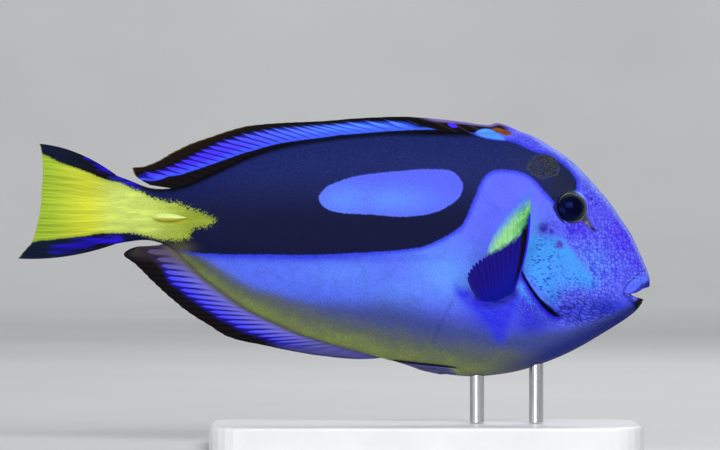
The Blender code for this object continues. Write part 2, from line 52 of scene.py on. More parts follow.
# The body: distance along X against height or width, in millimetres
BACK = (
    (-113.0, 96.6), (-111.0, 95.8), (-107.5, 94.4), (-103.3, 93.1), (-99.8, 91.4), (-96.3, 90.1), (-91.0, 89.9),
    (-85.1, 90.7), (-78.8, 93.2), (-71.8, 96.5), (-61.3, 101.3), (-50.8, 104.8), (-36.8, 107.3), (-22.8, 109.0),
    (-8.8, 109.8), (5.3, 109.6), (19.3, 109.5), (26.0, 110.0), (31.0, 110.3), (34.5, 109.9),
    (37.6, 108.7), (40.8, 106.9), (43.8, 105.0),
    (50.8, 100.3), (57.8, 93.1), (64.8, 85.1), (68.3, 79.8), (71.8, 74.6), (74.9, 68.1),
    (77.4, 62.3), (78.2, 60.2), (78.6, 58.6),
)
BELLY = (
    (-113.0, 69.8), (-111.0, 70.2), (-107.5, 70.9), (-103.3, 71.6), (-97.0, 72.3), (-92.8, 71.2), (-87.5, 68.8),
    (-84.4, 66.0), (-78.8, 60.1), (-71.8, 54.9), (-61.3, 47.4), (-50.8, 42.7), (-43.8, 39.4), (-36.8, 37.1),
    (-26.3, 34.1), (-14.4, 30.8), (-5.3, 28.0), (5.3, 25.4), (16.8, 24.3), (26.3, 25.1),
    (33.3, 26.4), (40.3, 28.6), (47.3, 31.3), (54.3, 34.7), (61.3, 38.9), (68.3, 43.2),
    (72.5, 46.2), (74.6, 48.2), (76.2, 50.8), (77.4, 53.0), (78.2, 54.8), (78.6, 56.2),
)
HALF_WIDTH = (
    (-113.0, 0.08), (-111.0, 0.3), (-107.5, 1.0), (-103.3, 2.1), (-97.0, 3.5), (-90.0, 4.4), (-78.8, 6.0),
    (-61.3, 8.2), (-43.8, 10.3), (-26.3, 12.5), (-8.8, 14.5), (8.0, 15.6), (20.0, 16.0), (32.0, 15.6),
    (42.0, 14.4), (50.8, 12.6), (59.5, 10.2), (66.5, 7.8), (72.0, 5.7), (76.0, 3.8), (78.0, 2.2),
    (78.6, 1.3),
)
WIDEST_AT = ((-113.0, 0.5), (-60.0, 0.52), (0.0, 0.5), (40.0, 0.44), (60.0, 0.38), (78.6, 0.42))
KEEL = 1.15
RING_POINTS = 600
STATION_STEPS = ((-113.0, 0.7), (18.0, 0.8), (34.0, 0.34), (40.0, 0.24), (77.0, 0.21), (78.6, 0.07))

# The head, as in the solids
MOUTH = (
    (69.6, 53.5), (73.4, 53.6), (75.0, 54.3), (76.6, 55.4), (80.0, 56.0), (80.0, 51.3), (76.4, 51.4),
    (75.2, 51.7), (72.5, 52.5),
)
UPPER_LIP = ((69.2, 53.9), (72.2, 54.6), (74.6, 55.2), (76.4, 56.2), (77.2, 56.8))
LOWER_LIP = ((69.6, 52.9), (71.6, 52.0), (73.4, 51.1), (74.7, 50.3))
UPPER_LIP_RADIUS, LOWER_LIP_RADIUS = 1.3, 1.1
EYE_CENTRE = (51.0, 83.4)
EYE_RADIUS, EYE_BULGE, EYE_DEPTH = 5.3, 2.1, 3.8
NOSTRILS = ((58.2, 86.4, 0.7), (59.7, 84.6, 0.55))
EYE_GROOVE = ((583.0, 216.5), (585.0, 219.5), (587.5, 223.0), (590.5, 226.8), (595.0, 230.6))
GILL_SLIT = (
    (520.7, 270.0), (524.6, 278.0), (529.8, 286.6), (538.2, 298.6), (546.6, 307.4), (554.5, 314.0), (560.5, 317.5),
)
SLIT_GAPE = ((0.0, 0.3), (0.25, 0.42), (0.55, 0.62), (0.8, 1.0), (0.92, 0.75), (1.0, 0.1))

# Markings on the flank, read from the picture in its pixels
PALETTE = (
    (575, 192), (576.5, 186), (575.5, 179), (567, 168), (551, 156), (534, 151.5), (516, 143.3), (505, 140.6),
    (491, 139.5), (470, 133), (440, 112), (300, 95), (100, 100), (-60, 110), (-60, 300), (90, 275),
    (138, 250), (165, 249), (183, 249.5), (196, 253), (230, 254.5), (266, 254.6), (311, 255), (366, 252.5),
    (400, 250), (422, 246.7), (440, 239.5), (452, 232.5), (461, 226), (465, 220), (470, 208),
    (475, 196), (480, 184), (485, 176), (492, 171), (500, 169.5), (511, 170.2), (520, 172), (528, 175),
    (535, 180.5), (543, 189.5), (550, 197), (555, 202), (565, 200),
)
OVAL = (
    (318.8, 198), (321.5, 192), (330, 185), (341, 180.7), (353, 177), (370, 174), (400, 171), (420, 169.4),
    (440, 169.4), (450, 170.5), (456, 174), (460.3, 179), (463, 185), (462, 192), (458, 199),
    (450, 205), (440, 210.5), (424, 215), (401, 216.7), (370, 214.5), (338, 212.5), (323, 206),
)
WEDGE = (
    (216, 221), (212.5, 217), (205, 212.8), (194, 208.5), (184, 204.5), (176, 201.5), (166, 200.8),
    (155, 197.5), (140, 191), (130, 187), (120, 182.5), (111, 181), (100, 177.5), (90, 173), (78, 168.6),
    (60, 162.3), (42, 153.5), (-20, 128), (-20, 260), (32, 242.4), (50, 240), (62, 238.4), (84, 236),
    (100, 233.4), (115, 233.4), (130, 233.2), (140, 235), (150, 238), (162, 241), (178, 241),
    (189, 238.5), (191.5, 233), (196, 229), (207, 227), (213, 223.5),
)
CHEEK = (
    (527, 244), (531, 237), (540, 236), (550, 238), (561, 239), (569, 248), (576, 256), (583, 266), (592, 275),
    (599, 283), (596, 288), (584, 289), (570, 289), (561, 294), (557, 302), (549, 299), (540, 289), (531, 277),
    (524, 267), (524, 256),
)
NAPE = ((512, 134), (530, 134), (552, 149), (562, 158), (552, 157), (536, 152), (518, 143))
LENS = (
    (475.5, 132.5), (480, 129.6), (486, 128.8), (492, 130), (498, 133.4), (505, 139.4), (496, 139.2),
    (486, 137.6), (479, 135.6),
)
BROWN_FOLD = ((492, 129), (497, 127.6), (504, 129.6), (511, 132), (511.5, 134.5), (506, 135.6), (499, 132.8))
UPPER_LIP_PATCH = (
    (650, 274), (641, 275.8), (634.7, 278.5), (629.5, 283.5), (626.0, 288.5), (624.4, 293.8), (628, 295.8),
    (633, 293), (638, 287.5), (650, 282),
)
LIP_EDGE = (
    (651, 281), (644, 283), (640, 285.3), (637.3, 288.4), (632.9, 292.9), (629.3, 295.3), (633, 297), (637.5, 292.5),
    (641, 289), (651, 287),
)
LOWER_LIP_PATCH = ((631.2, 299), (633.4, 297), (636.5, 296.2), (638.4, 297.2), (637.4, 299.2), (634.4, 300.6), (632, 300.6))
BLACK_TIP = ((634.4, 302), (637, 300.2), (639.4, 297.6), (645, 300), (643, 306), (637, 310), (634, 307))
CREASES = (
    (((632.9, 273.2), (629.3, 275.4), (626.2, 278.6), (624.4, 281.3), (623.3, 284.8)), 0.5),
    (((634.6, 277.7), (631.5, 280.4), (628.8, 283.0), (625.7, 286.6), (623.9, 291.1), (623.5, 294.2)), 0.8),
    (((623.5, 294.2), (626.6, 296.0), (630.2, 298.2), (632.9, 301.8), (635.1, 305.8)), 1.0),
    (((646, 270), (640, 272.5), (636, 276.0)), 0.4),
)
PEBBLE_EDGE = ((578, 168), (574, 190), (562, 222), (564, 238), (573, 249), (584, 265), (592, 277), (588, 290))
PEBBLE_SIZE, BEAD_SIZE = 1.3, 1.08
BEADED = (
    (576, 294, 28, 13, 1.3), (552, 228, 11, 11, 0.6), (600, 182, 19, 40, 1.6), (578, 157, 24, 13, 1.3),
    (545, 306, 16, 12, 0.5), (560, 272, 16, 14, 0.4), (540, 139, 20, 9, 0.9),
)
WRINKLED = ((582, 312, 34, 13, 1.7), (608, 320, 22, 12, 1.5), (556, 302, 12, 8, 0.7), (640, 312, 8, 6, 0.8))
SPECKED = ((547, 258, 17, 24, 1.2), (540, 284, 15, 9, 2.5), (572, 277, 18, 9, 0.8), (558, 292, 14, 8, 1.2))
DOTTED = ((528, 308, 17, 17, 1.0),)
FOLD_SLOPE, FOLD_STRETCH = math.radians(27), (3.4, 2.2, 1.25)
# Soft patches of colour: middle and reach in pixels, then how strong
CYAN_CLOUDS = (
    (447, 274, 38, 28, 1.0), (392, 200, 44, 14, 0.6), (345, 200, 32, 16, 0.6), (350, 275, 46, 13, 0.4),
    (594, 264, 16, 16, 0.75), (622, 262, 12, 10, 0.25), (533, 228, 10, 18, 0.8), (405, 292, 40, 20, 0.5),
    (640, 281, 9, 5, 0.8), (520, 289, 5, 8, 1.0), (601, 176, 10, 20, 0.35),
)
# Painted shadow: deeper blue where shade falls, under the pectoral fin, under the head, on the lower flank and along
# the black band's lower edge.
SHADOW_CLOUDS = (
    (486, 322, 30, 20, 0.66), (532, 326, 24, 18, 0.9), (575, 310, 40, 12, 0.7), (608, 308, 30, 12, 0.95),
    (300, 258, 110, 4, 0.6), (428, 330, 30, 20, 0.5),
)
VIOLET_CLOUDS = (
    (628, 232, 24, 32, 1.1), (580, 228, 16, 10, 1.1), (600, 205, 18, 20, 0.6), (636, 262, 16, 12, 0.8),
    (534, 143, 16, 8, 0.6),
)
FOREHEAD = ((600, 176, 15, 30, 0.9), (577, 152, 20, 9, 0.8))
FIN_GLOW = ((466, 294, 9, 5, 1.0), (478, 302, 9, 5, 0.7), (521, 262, 3, 16, 0.5))
# Painted shadow of the pectoral fin on the flank below it, in pixels.
PECTORAL_SHADOW = (
    (456, 286), (466, 295), (478, 301), (490, 303), (505, 301), (516, 292), (519, 300), (513, 318), (505, 338),
    (498, 342), (488, 328), (474, 312), (462, 302),
)
SCAR = (543.8, 166.3, 15.6, 12.0)
BLEMISHES = ((543.6, 228.2, 4.4, 4.6, 1.5), (551.4, 231.3, 2.6, 2.8, 1.2), (547, 224.5, 2.4, 1.8, 0.8))
GROOVE_ROOT = ((584.6, 218.3, 3.0, 3.6, 1.4),)
GROOVE_GLINT = ((586.8, 222.9, 1.4, 1.5, 1.1), (589.4, 226.6, 1.1, 1.5, 0.6))
FLANK_FOLD = ((453, 301), (444, 316), (438, 329), (433, 343))
SPINE_CREASE = ((156.5, 219.5), (165.0, 221.6), (176.0, 222.0), (186.5, 220.6))
RED_SPOT = ((559.4, 244.6, 3.2, 3.8, 1.7),)
HEAD_DUSK = ((563, 182, 13, 17, 1.2), (552, 174, 10, 8, 0.5), (532, 158, 26, 12, 0.3))
REAR_OLIVE = ((179, 248, 13, 5.5, 1.3), (195, 263, 16, 8, 0.5))
EYE_CORNER = (
    (558.5, 197.5), (552.8, 206.2), (555.2, 213), (559.3, 219.2), (565, 224), (563, 219), (559.8, 212), (559.5, 204),
)
OLIVE_REACH = (
    (-100.0, 2.0), (-92.0, 3.0), (-80.0, 8.0), (-61.3, 11.5), (-44.0, 13.5), (-26.0, 14.5), (-9.0, 16.0),
    (9.0, 16.5), (26.0, 13.0), (40.0, 6.0), (54.0, 2.0), (78.0, 1.0),
)
# How far above the belly the painted shade of the lower flank reaches, along X.
LOWER_SHADE_REACH = (
    (-100.0, 3.0), (-92.0, 4.0), (-80.0, 8.0), (-61.3, 11.0), (-44.0, 17.0), (-26.0, 23.0), (-9.0, 30.0),
    (9.0, 29.0), (26.0, 22.0), (40.0, 17.0), (54.0, 11.0), (78.0, 3.0),
)

# The fins, as in the solids, in millimetres
DORSAL_BASE = (33.4, -85.3)
DORSAL_MARGIN = (
    (33.6, 109.9), (32.2, 110.5), (30.4, 111.4), (27.7, 112.5), (25.0, 113.1), (22.4, 112.4), (19.3, 112.6),
    (13.9, 113.4), (5.3, 114.4), (-8.8, 115.3), (-22.8, 114.8),
    (-36.8, 113.7), (-50.8, 113.1), (-61.3, 112.2), (-68.3, 110.5), (-75.3, 108.2), (-82.6, 105.6),
    (-88.2, 102.9), (-94.6, 99.3), (-99.4, 97.7), (-102.6, 97.4), (-101.6, 94.9), (-99.6, 93.1),
    (-96.2, 91.3),
)
DORSAL_LEAN = (
    (0.0, 0.0), (0.2, 0.27), (0.376, 0.465), (0.534, 0.565), (0.673, 0.685), (0.79, 0.793), (0.956, 0.93), (1.0, 1.0),
)
DORSAL_RAYS = ((0, 0.0), (6, 0.2), (14, 0.52), (33, 1.0))
ANAL_BASE = (-14.6, -90.0)
ANAL_MARGIN = (
    (-14.8, 31.0), (-18.4, 30.5), (-22.8, 30.4), (-36.8, 31.6), (-47.3, 33.3), (-57.8, 35.5), (-64.8, 36.9),
    (-69.5, 38.4), (-75.3, 42.0), (-82.3, 46.4), (-89.3, 52.0), (-96.3, 58.5), (-101.4, 63.6),
    (-105.6, 67.2), (-103.3, 69.0), (-99.8, 69.9), (-94.6, 70.0),
)
ANAL_LEAN = ((0.0, 0.0), (0.178, 0.3), (0.53, 0.631), (0.753, 0.779), (0.855, 0.847), (0.93, 0.89), (1.0, 1.0))
ANAL_RAYS = 26
CAUDAL_MARGIN = (
    (-135.0, 105.8), (-134.2, 102.7), (-133.8, 96.6), (-134.2, 89.4), (-134.8, 82.6), (-136.3, 75.6),
    (-137.6, 71.4), (-139.7, 69.0), (-142.5, 65.6),
)
CAUDAL_BOW = (2.2, -1.8)
CAUDAL_RAYS = 18
PECTORAL_BASE = ((30.0, 53.9), (18.4, 51.4))
PECTORAL_BASE_SAG = 1.6
PECTORAL_MARGIN = (
    (35.0, 89.4), (32.0, 85.6), (27.6, 81.4), (24.2, 76.8), (21.6, 71.9), (20.2, 67.1), (16.1, 63.6),
    (14.2, 59.4), (15.6, 55.2),
)
PECTORAL_BOW, PECTORAL_FLARE, PECTORAL_CUP = 2.6, 0.72, 2.4
PECTORAL_RAYS = 15
PELVIC_ROOT = ((12.6, 27.6), (12.6, 25.6))
PELVIC_MARGIN = ((-14.0, 30.4), (-9.0, 29.4), (-5.3, 28.0), (-1.8, 26.7), (1.8, 25.8), (5.3, 25.1))
PELVIC_RAYS = 4
SPINE_LENGTH, SPINE_HEIGHT, SPINE_THICKNESS = 12.2, 3.0, 1.7
SPINE_CENTRE = (-89.0, 80.0)


def smooth(knots, at):
    """Values on a curve through the knots that never overshoots them."""
    x, y = np.array(knots, float).T
    steps = np.diff(x)
    slopes = np.diff(y) / steps
    tangents = np.zeros_like(y)
    tangents[0], tangents[-1] = slopes[0], slopes[-1]
    same_way = slopes[1:] * slopes[:-1] > 0
    first, second = 2 * steps[1:] + steps[:-1], steps[1:] + 2 * steps[:-1]
    before = np.where(same_way, slopes[:-1], 1.0)
    after = np.where(same_way, slopes[1:], 1.0)
    tangents[1:-1] = np.where(same_way, (first + second) / (first / before + second / after), 0.0)
    at = np.clip(at, x[0], x[-1])
    i = np.clip(np.searchsorted(x, at) - 1, 0, len(x) - 2)
    t = (at - x[i]) / steps[i]
    ends = y[i] * (1 + 2 * t) * (1 - t) ** 2 + y[i + 1] * t * t * (3 - 2 * t)
    return ends + steps[i] * t * (1 - t) * (tangents[i] * (1 - t) - tangents[i + 1] * t)


def along(points, share):
    """Points at shares of the length of a line through the points."""
    line = np.array(points, float)
    lengths = np.linalg.norm(np.diff(line, axis=0), axis=1)
    run = np.concatenate([[0.0], np.cumsum(lengths)]) / lengths.sum()
    return np.stack([smooth(tuple(zip(run, column)), share) for column in line.T], axis=-1)


def step_up(value, low, high):
    """0 below low, 1 above high, and a smooth rise between."""
    t = np.clip((value - low) / (high - low), 0.0, 1.0)
    return t * t * (3 - 2 * t)


def bell(value, spread):
    return np.exp(-((value / spread) ** 2))


def eased(knots, spread=2.5):
    """A function of x through the knots with its curvature evened out, except at the snout."""
    step = 0.2
    places = np.arange(knots[0][0], knots[-1][0] + step / 2, step)
    raw = smooth(knots, places)
    reach = int(3 * spread / step)
    weights = bell(np.arange(-reach, reach + 1) * step, spread * math.sqrt(2))
    padded = np.pad(raw, reach, mode="reflect", reflect_type="odd")
    blurred = np.convolve(padded, weights / weights.sum(), mode="valid")
    snout = step_up(places, 60.0, 70.0)
    even = blurred * (1 - snout) + raw * snout
    return lambda x: np.interp(x, places, even)


back_at, belly_at, half_at, widest_at = (eased(knots) for knots in (BACK, BELLY, HALF_WIDTH, WIDEST_AT))


def section(x):
    """The body's cross-section at x: back, belly, height of the widest point and half width."""
    back, belly = back_at(x), belly_at(x)
    return back, belly, belly + widest_at(x) * (back - belly), half_at(x)


def flank(x, z):
    """Half the body's width at places seen from the side."""
    back, belly, middle, half = section(x)
    reach = np.maximum(np.where(z > middle, back - middle, middle - belly), 0.1)
    return half * np.maximum(0.0, 1 - ((z - middle) / reach) ** 2) ** (KEEL / 2)


def flank_normal(x, z, side):
    step = 0.5
    slope_x = (flank(x + step, z) - flank(x - step, z)) / (2 * step)
    slope_z = (flank(x, z + step) - flank(x, z - step)) / (2 * step)
    return Vector((-float(slope_x), side, -float(slope_z))).normalized()


def from_picture(points, depth=None):
    """Turns places in the picture into X and Z in millimetres, on the flank or at a depth before the middle."""
    places = np.array(points, float)

    def at(nearer):
        share = (1 - np.asarray(nearer) / CAMERA_DISTANCE)[..., None]
        return ((places - PICTURE_CENTRE) * share + PICTURE_CENTRE - WORLD_ZERO) * (PIXEL, -PIXEL)

    if depth is None:
        depth = flank(*np.moveaxis(at(0.0), -1, 0))
    return at(depth)


def rounded(outline, parts=5):
    """A closed outline with curves through its points instead of corners."""
    points = np.array(outline, float)
    a, b, c, d = (np.roll(points, shift, axis=0)[:, None] for shift in (1, 0, -1, -2))
    t = (np.arange(parts) / parts)[None, :, None]
    curve = 0.5 * (2 * b + (c - a) * t + (2 * a - 5 * b + 4 * c - d) * t**2 + (3 * b - a - 3 * c + d) * t**3)
    return curve.reshape(-1, 2)


def distance_to(line, x, z, closed=False):
    """Distance from places to a line seen from the side."""
    points = np.array(line, float)
    ends = np.roll(points, -1, axis=0) if closed else points[1:]
    starts = points if closed else points[:-1]
    nearest = np.full(len(x), 1e9)
    for (ax, az), (bx, bz) in zip(starts, ends):
        run = max((bx - ax) ** 2 + (bz - az) ** 2, 1e-9)
        share = np.clip(((x - ax) * (bx - ax) + (z - az) * (bz - az)) / run, 0, 1)
        gap = np.hypot(x - ax - share * (bx - ax), z - az - share * (bz - az))
        nearest = np.minimum(nearest, gap)
    return nearest


def nearest_on(line, x, z):
    """Distance from places to a line seen from the side, and how far along the line is nearest."""
    points = np.array(line, float)
    lengths = np.linalg.norm(np.diff(points, axis=0), axis=1)
    run = np.concatenate([[0.0], np.cumsum(lengths)]) / lengths.sum()
    nearest, share = np.full(len(x), 1e9), np.zeros(len(x))
    for i, length in enumerate(lengths):
        (ax, az), (bx, bz) = points[i], points[i + 1]
        part = np.clip(((x - ax) * (bx - ax) + (z - az) * (bz - az)) / length**2, 0, 1)
        gap = np.hypot(x - ax - part * (bx - ax), z - az - part * (bz - az))
        share = np.where(gap < nearest, run[i] + part * (run[i + 1] - run[i]), share)
        nearest = np.minimum(nearest, gap)
    return nearest, share


def clouds(spots, x, z):
    """Soft round patches given in the picture's pixels; a strength above 1 gives a patch a flat middle."""
    strongest = np.zeros(len(x))
    for across, down, reach_across, reach_down, strength in spots:
        centre_x, centre_z = from_picture((across, down))
        away = ((x - centre_x) / (reach_across * PIXEL)) ** 2 + ((z - centre_z) / (reach_down * PIXEL)) ** 2
        strongest = np.maximum(strongest, strength * np.exp(-away))
    return np.minimum(strongest, 1.0)


def depth_in(outline, x, z):
    """Distance inside a closed outline, negative outside it."""
    points = rounded(outline)
    inside = np.zeros(len(x), bool)
    for (ax, az), (bx, bz) in zip(points, np.roll(points, -1, axis=0)):
        if az == bz:
            continue
        crosses = ((az > z) != (bz > z)) & (x < (bx - ax) * (z - az) / (bz - az) + ax)
        inside ^= crosses
    return np.where(inside, 1.0, -1.0) * distance_to(points, x, z, closed=True)


def random_at(cell, seed):
    """Even random numbers from 0 to 1, three for each whole-numbered place."""
    mixed = cell @ np.array([[12.9898, 39.3461, 73.1562], [78.233, 11.1351, 52.2352], [37.719, 83.155, 9.1513]])
    return np.modf(np.abs(np.sin(mixed + seed) * 43758.5453))[0]


def cells(points, size, seed):
    """Rounded scales of uneven shape: 0 in the gaps between them, 1 on their backs."""
    scaled = points / size
    whole = np.floor(scaled)
    first, second = np.full(len(points), 9.0), np.full(len(points), 9.0)
    for step in itertools.product((-1, 0, 1), repeat=3):
        corner = whole + step
        gap = np.linalg.norm(corner + 0.5 + 0.8 * (random_at(corner, seed) - 0.5) - scaled, axis=1)
        second = np.minimum(second, np.maximum(first, gap))
        first = np.minimum(first, gap)
    return step_up(second - first, 0.0, 0.4)


def new_object(name, mesh, smooth_faces=True):
    body = bpy.data.objects.new(name, mesh)
    bpy.context.scene.collection.objects.link(body)
    if smooth_faces:
        mesh.shade_smooth()
    return body


def mesh_of(name, points, faces):
    """A mesh from points in millimetres."""
    mesh = bpy.data.meshes.new(name)
    mesh.from_pydata((np.asarray(points) * MM).tolist(), [], faces)
    mesh.validate()
    return mesh


def grid_faces(rows, columns, closed_columns=False, start=0):
    """Quads between neighbouring points of a grid stored row by row."""
    faces = []
    last = columns if closed_columns else columns - 1
    for i in range(rows - 1):
        for k in range(last):
            n = (k + 1) % columns
            a, b = start + i * columns + k, start + i * columns + n
            faces.append((a, b, b + columns, a + columns))
    return faces


def outward(mesh):
    shape = bmesh.new()
    shape.from_mesh(mesh)
    bmesh.ops.recalc_face_normals(shape, faces=shape.faces)
    shape.to_mesh(mesh)
    shape.free()


def points_of(mesh):
    """A mesh's points in millimetres."""
    flat = np.empty(len(mesh.vertices) * 3)
    mesh.vertices.foreach_get("co", flat)
    return flat.reshape(-1, 3) / MM


def store(mesh, name, values):
    """Keeps one number for each point, for the materials to read."""
    layer = mesh.attributes.new(name, "FLOAT", "POINT")
    layer.data.foreach_set("value", np.ascontiguousarray(values, dtype=np.float32))


def tube_mesh(name, path, radii, sides=24):
    """A closed tube through points with a radius at each."""
    path = np.array(path, float)
    ahead = np.gradient(path, axis=0)
    ahead /= np.linalg.norm(ahead, axis=1)[:, None]
    across = np.cross(ahead, (0, 0, 1.0))
    across /= np.linalg.norm(across, axis=1)[:, None]
    up = np.cross(across, ahead)
    turns = np.linspace(0, 2 * math.pi, sides, endpoint=False)
    ring = across[:, None] * np.cos(turns)[None, :, None] + up[:, None] * np.sin(turns)[None, :, None]
    points = (path[:, None] + ring * np.array(radii)[:, None, None]).reshape(-1, 3)
    faces = grid_faces(len(path), sides, closed_columns=True)
    faces += [tuple(range(sides)), tuple(reversed(range((len(path) - 1) * sides, len(path) * sides)))]
    mesh = mesh_of(name, points, faces)
    outward(mesh)
    return mesh


def boolean(body, other, operation):
    """Joins or cuts a body with another mesh, which is then gone."""
    change = body.modifiers.new("change", "BOOLEAN")
    change.operation = operation
    change.object = other
    change.solver = "MANIFOLD"
    bpy.context.view_layer.update()
    seen = body.evaluated_get(bpy.context.evaluated_depsgraph_get())
    body.data = bpy.data.meshes.new_from_object(seen)
    body.modifiers.clear()
    bpy.data.objects.remove(other, do_unlink=True)


def eye_frame(side):
    """The middle of an eyeball and the way that it looks out."""
    x, z = EYE_CENTRE
    out = flank_normal(x, z, side)
    centre = Vector((x, side * float(flank(x, z)), z)) - out * (EYE_DEPTH - EYE_BULGE)
    return centre, out


def eye_distance(points, side):
    """Distance of points from the line along which an eye looks, far from the other eye."""
    centre, out = eye_frame(side)
    gap = points - np.array(centre)
    height = gap @ np.array(out)
    across = np.linalg.norm(gap - height[:, None] * np.array(out), axis=1)
    return np.where(np.abs(height) < 6.0, across, 99.0)


def pebble_share(x, z):
    """How strongly the skin is pebbled, most between the cheek and the mouth."""
    edge_x, edge_z = from_picture(PEBBLE_EDGE).T
    past_edge = x - np.interp(z, edge_z[::-1], edge_x[::-1])
    low = step_up(z - from_picture((600, 303))[1], -1.0, 4.0)
    near_lip = 1 - 0.8 * bell(np.hypot(x - from_picture((622, 288))[0], z - from_picture((622, 288))[1]), 3.0)
    return step_up(past_edge, -1.5, 1.5) * low * near_lip * (1 - step_up(z, 77.0, 86.0))


def scale_relief(points):
    """The pebbled scales of the head: how far they are there and which of their places are gaps."""
    x, _, z = points.T
    head = x > 26.0
    share, backs = np.zeros(len(x)), np.ones(len(x))
    pebble = pebble_share(x[head], z[head])
    bead = np.clip(clouds(BEADED, x[head], z[head]), 0, 1) * (1 - pebble)
    share[head] = np.maximum(pebble, bead)
    large, small = cells(points[head], PEBBLE_SIZE, 3.1), cells(points[head] * (0.8, 1, 1.15), BEAD_SIZE, 7.7)
    backs[head] = np.where(pebble > bead, large, small)
    return share, backs


def ahead_of_slit(x, z):
    edge_x, edge_z = from_picture(GILL_SLIT)[::-1].T
    return x > np.interp(z, edge_z, edge_x)


def fold_share(x, z):
    """Where the throat is wrinkled."""
    return clouds(WRINKLED, x, z)


def fold_lines(points):
    """Wrinkles that run down towards the chin, as 0 on the skin and 1 in a wrinkle."""
    x, y, z = points.T
    across = z * math.cos(FOLD_SLOPE) + x * math.sin(FOLD_SLOPE)
    ahead = x * math.cos(FOLD_SLOPE) - z * math.sin(FOLD_SLOPE)
    throat = (x > 24.0) & (z < 58.0)
    lines = np.zeros(len(x))
    turned = np.stack([ahead, y, across + 0.3 * np.sin(ahead * 0.7)], axis=1)[throat] / FOLD_STRETCH
    lines[throat] = 1 - cells(turned, 1.0, 5.3)
    return lines


def crease_lines(x, z):
    """The folds round the lips."""
    deepest = np.zeros(len(x))
    for crease, strength in CREASES:
        line = along(from_picture(crease), np.linspace(0, 1, 16))
        deepest = np.maximum(deepest, strength * bell(distance_to(line, x, z), 0.3))
    return deepest


def pectoral_root():
    """The curved line along which the rays of a pectoral fin leave the flank."""
    share = np.linspace(0, 1, 12)[:, None]
    front, rear = np.array(PECTORAL_BASE)
    return front + (rear - front) * share - [[0, 1]] * (4 * share * (1 - share)) * PECTORAL_BASE_SAG


def root_folds(x, z):
    """Distance from the root of a pectoral fin, and the uneven wrinkles round it from 0 to 1."""
    root = distance_to(pectoral_root(), x, z)
    waver = 0.3 * np.sin(1.1 * x + 0.7 * z) + 0.2 * np.sin(2.3 * x - 1.9 * z)
    fading = 0.5 + 0.5 * np.sin(0.8 * x + 1.6 * z + 1.3 * np.sin(0.6 * x))
    return root, fading * (0.5 + 0.5 * np.sin((root + waver) * 2 * math.pi / 1.2))


def relief(points):
    """How far the skin rises or sinks at each point of the plain body, in millimetres."""
    x, y, z = points.T
    rise = np.zeros(len(x))
    for side in (1, -1):
        near = eye_distance(points, side)
        rise += 0.45 * bell(near - 5.9, 0.45) + 0.25 * bell(near - 8.0, 1.4)
    on_flank = np.abs(y) > 1.0
    slit, run = nearest_on(along(from_picture(GILL_SLIT), np.linspace(0, 1, 24)), x, z)
    gape = smooth(SLIT_GAPE, run)
    cover = np.where(ahead_of_slit(x, z), 0.45 * bell(slit - 1.1, 1.5) * step_up(1 - run, 0.0, 0.12), 0.0)
    rise += on_flank * (cover - 1.3 * (1 - step_up(slit, 0.45 * gape, 1.1 * gape)))
    groove, run = nearest_on(along(from_picture(EYE_GROOVE), np.linspace(0, 1, 12)), x, z)
    rise -= on_flank * 0.5 * bell(groove, 0.9 - 0.4 * run)
    rise -= on_flank * (0.35 * fold_lines(points) * fold_share(x, z) + 0.45 * crease_lines(x, z))
    share, backs = scale_relief(points)
    rise += share * (0.19 * backs - 0.1)
    root, folds = root_folds(x, z)
    rise += on_flank * (0.3 * bell(root, 2.8) - 0.12 * folds * bell(root - 2.0, 2.2))
    groove = np.hypot((x - SPINE_CENTRE[0]) / (SPINE_LENGTH * 0.62), (z - SPINE_CENTRE[1]) / 2.5)
    rise -= on_flank * 0.45 * bell(groove, 0.85)
    rise -= on_flank * 0.35 * bell(distance_to(from_picture(SPINE_CREASE), x, z), 0.5)
    sheath = bell(back_at(x) - z, 1.6) * step_up(x, -88.0, -80.0) * step_up(26.0 - x, 0.0, 5.0)
    sheath += bell(z - belly_at(x), 1.6) * step_up(x, -92.0, -84.0) * step_up(-12.0 - x, 0.0, 4.0)
    rise += 0.25 * sheath
    return rise


def stations():
    places, limits = [BACK[0][0]], np.array(STATION_STEPS).T
    while places[-1] < BACK[-1][0]:
        places.append(places[-1] + float(np.interp(places[-1], *limits)))
    return np.minimum(places, BACK[-1][0])


def lip_mesh(name, line, radius):
    """One lip, from one corner of the mouth round the front to the other."""
    share = np.sin(np.linspace(0, 1, 40) * math.pi / 2)
    places = along(line, share)
    x, z = places.T
    y = flank(x, z) * (1 - share**4) ** 0.5
    x = x + 0.2 * share**8
    size = radius * (0.55 + 0.45 * step_up(share, 0.0, 0.35))
    half = np.stack([x, y, z], axis=1)
    other = half[-2::-1] * (1, -1, 1)
    return tube_mesh(name, np.concatenate([half, other]), np.concatenate([size, size[-2::-1]]))


def mouth_mesh():
    """The open mouth: a wedge from the lips back to its corners, narrowing inside."""
    outline = np.array(MOUTH)
    sides = np.linspace(-1, 1, 25)
    points = [(x, side * 9.0, z) for side in sides for x, z in outline]
    faces = grid_faces(len(sides), len(outline), closed_columns=True)
    faces += [tuple(range(len(outline))), tuple(reversed(range(len(points) - len(outline), len(points))))]
    mesh = mesh_of("mouth", points, faces)
    outward(mesh)
    return mesh


def soften_mouth(body):
    """Rounds the cut edges of the lips and of the mouth's corners."""
    shape = bmesh.new()
    shape.from_mesh(body.data)
    near = [
        vert for vert in shape.verts
        if vert.co.x > 68.2 * MM and 48.6 * MM < vert.co.z < 59.6 * MM
    ]
    for _ in range(4):
        bmesh.ops.smooth_vert(shape, verts=near, factor=0.5, use_axis_x=True, use_axis_y=True, use_axis_z=True)
    shape.to_mesh(body.data)
    shape.free()


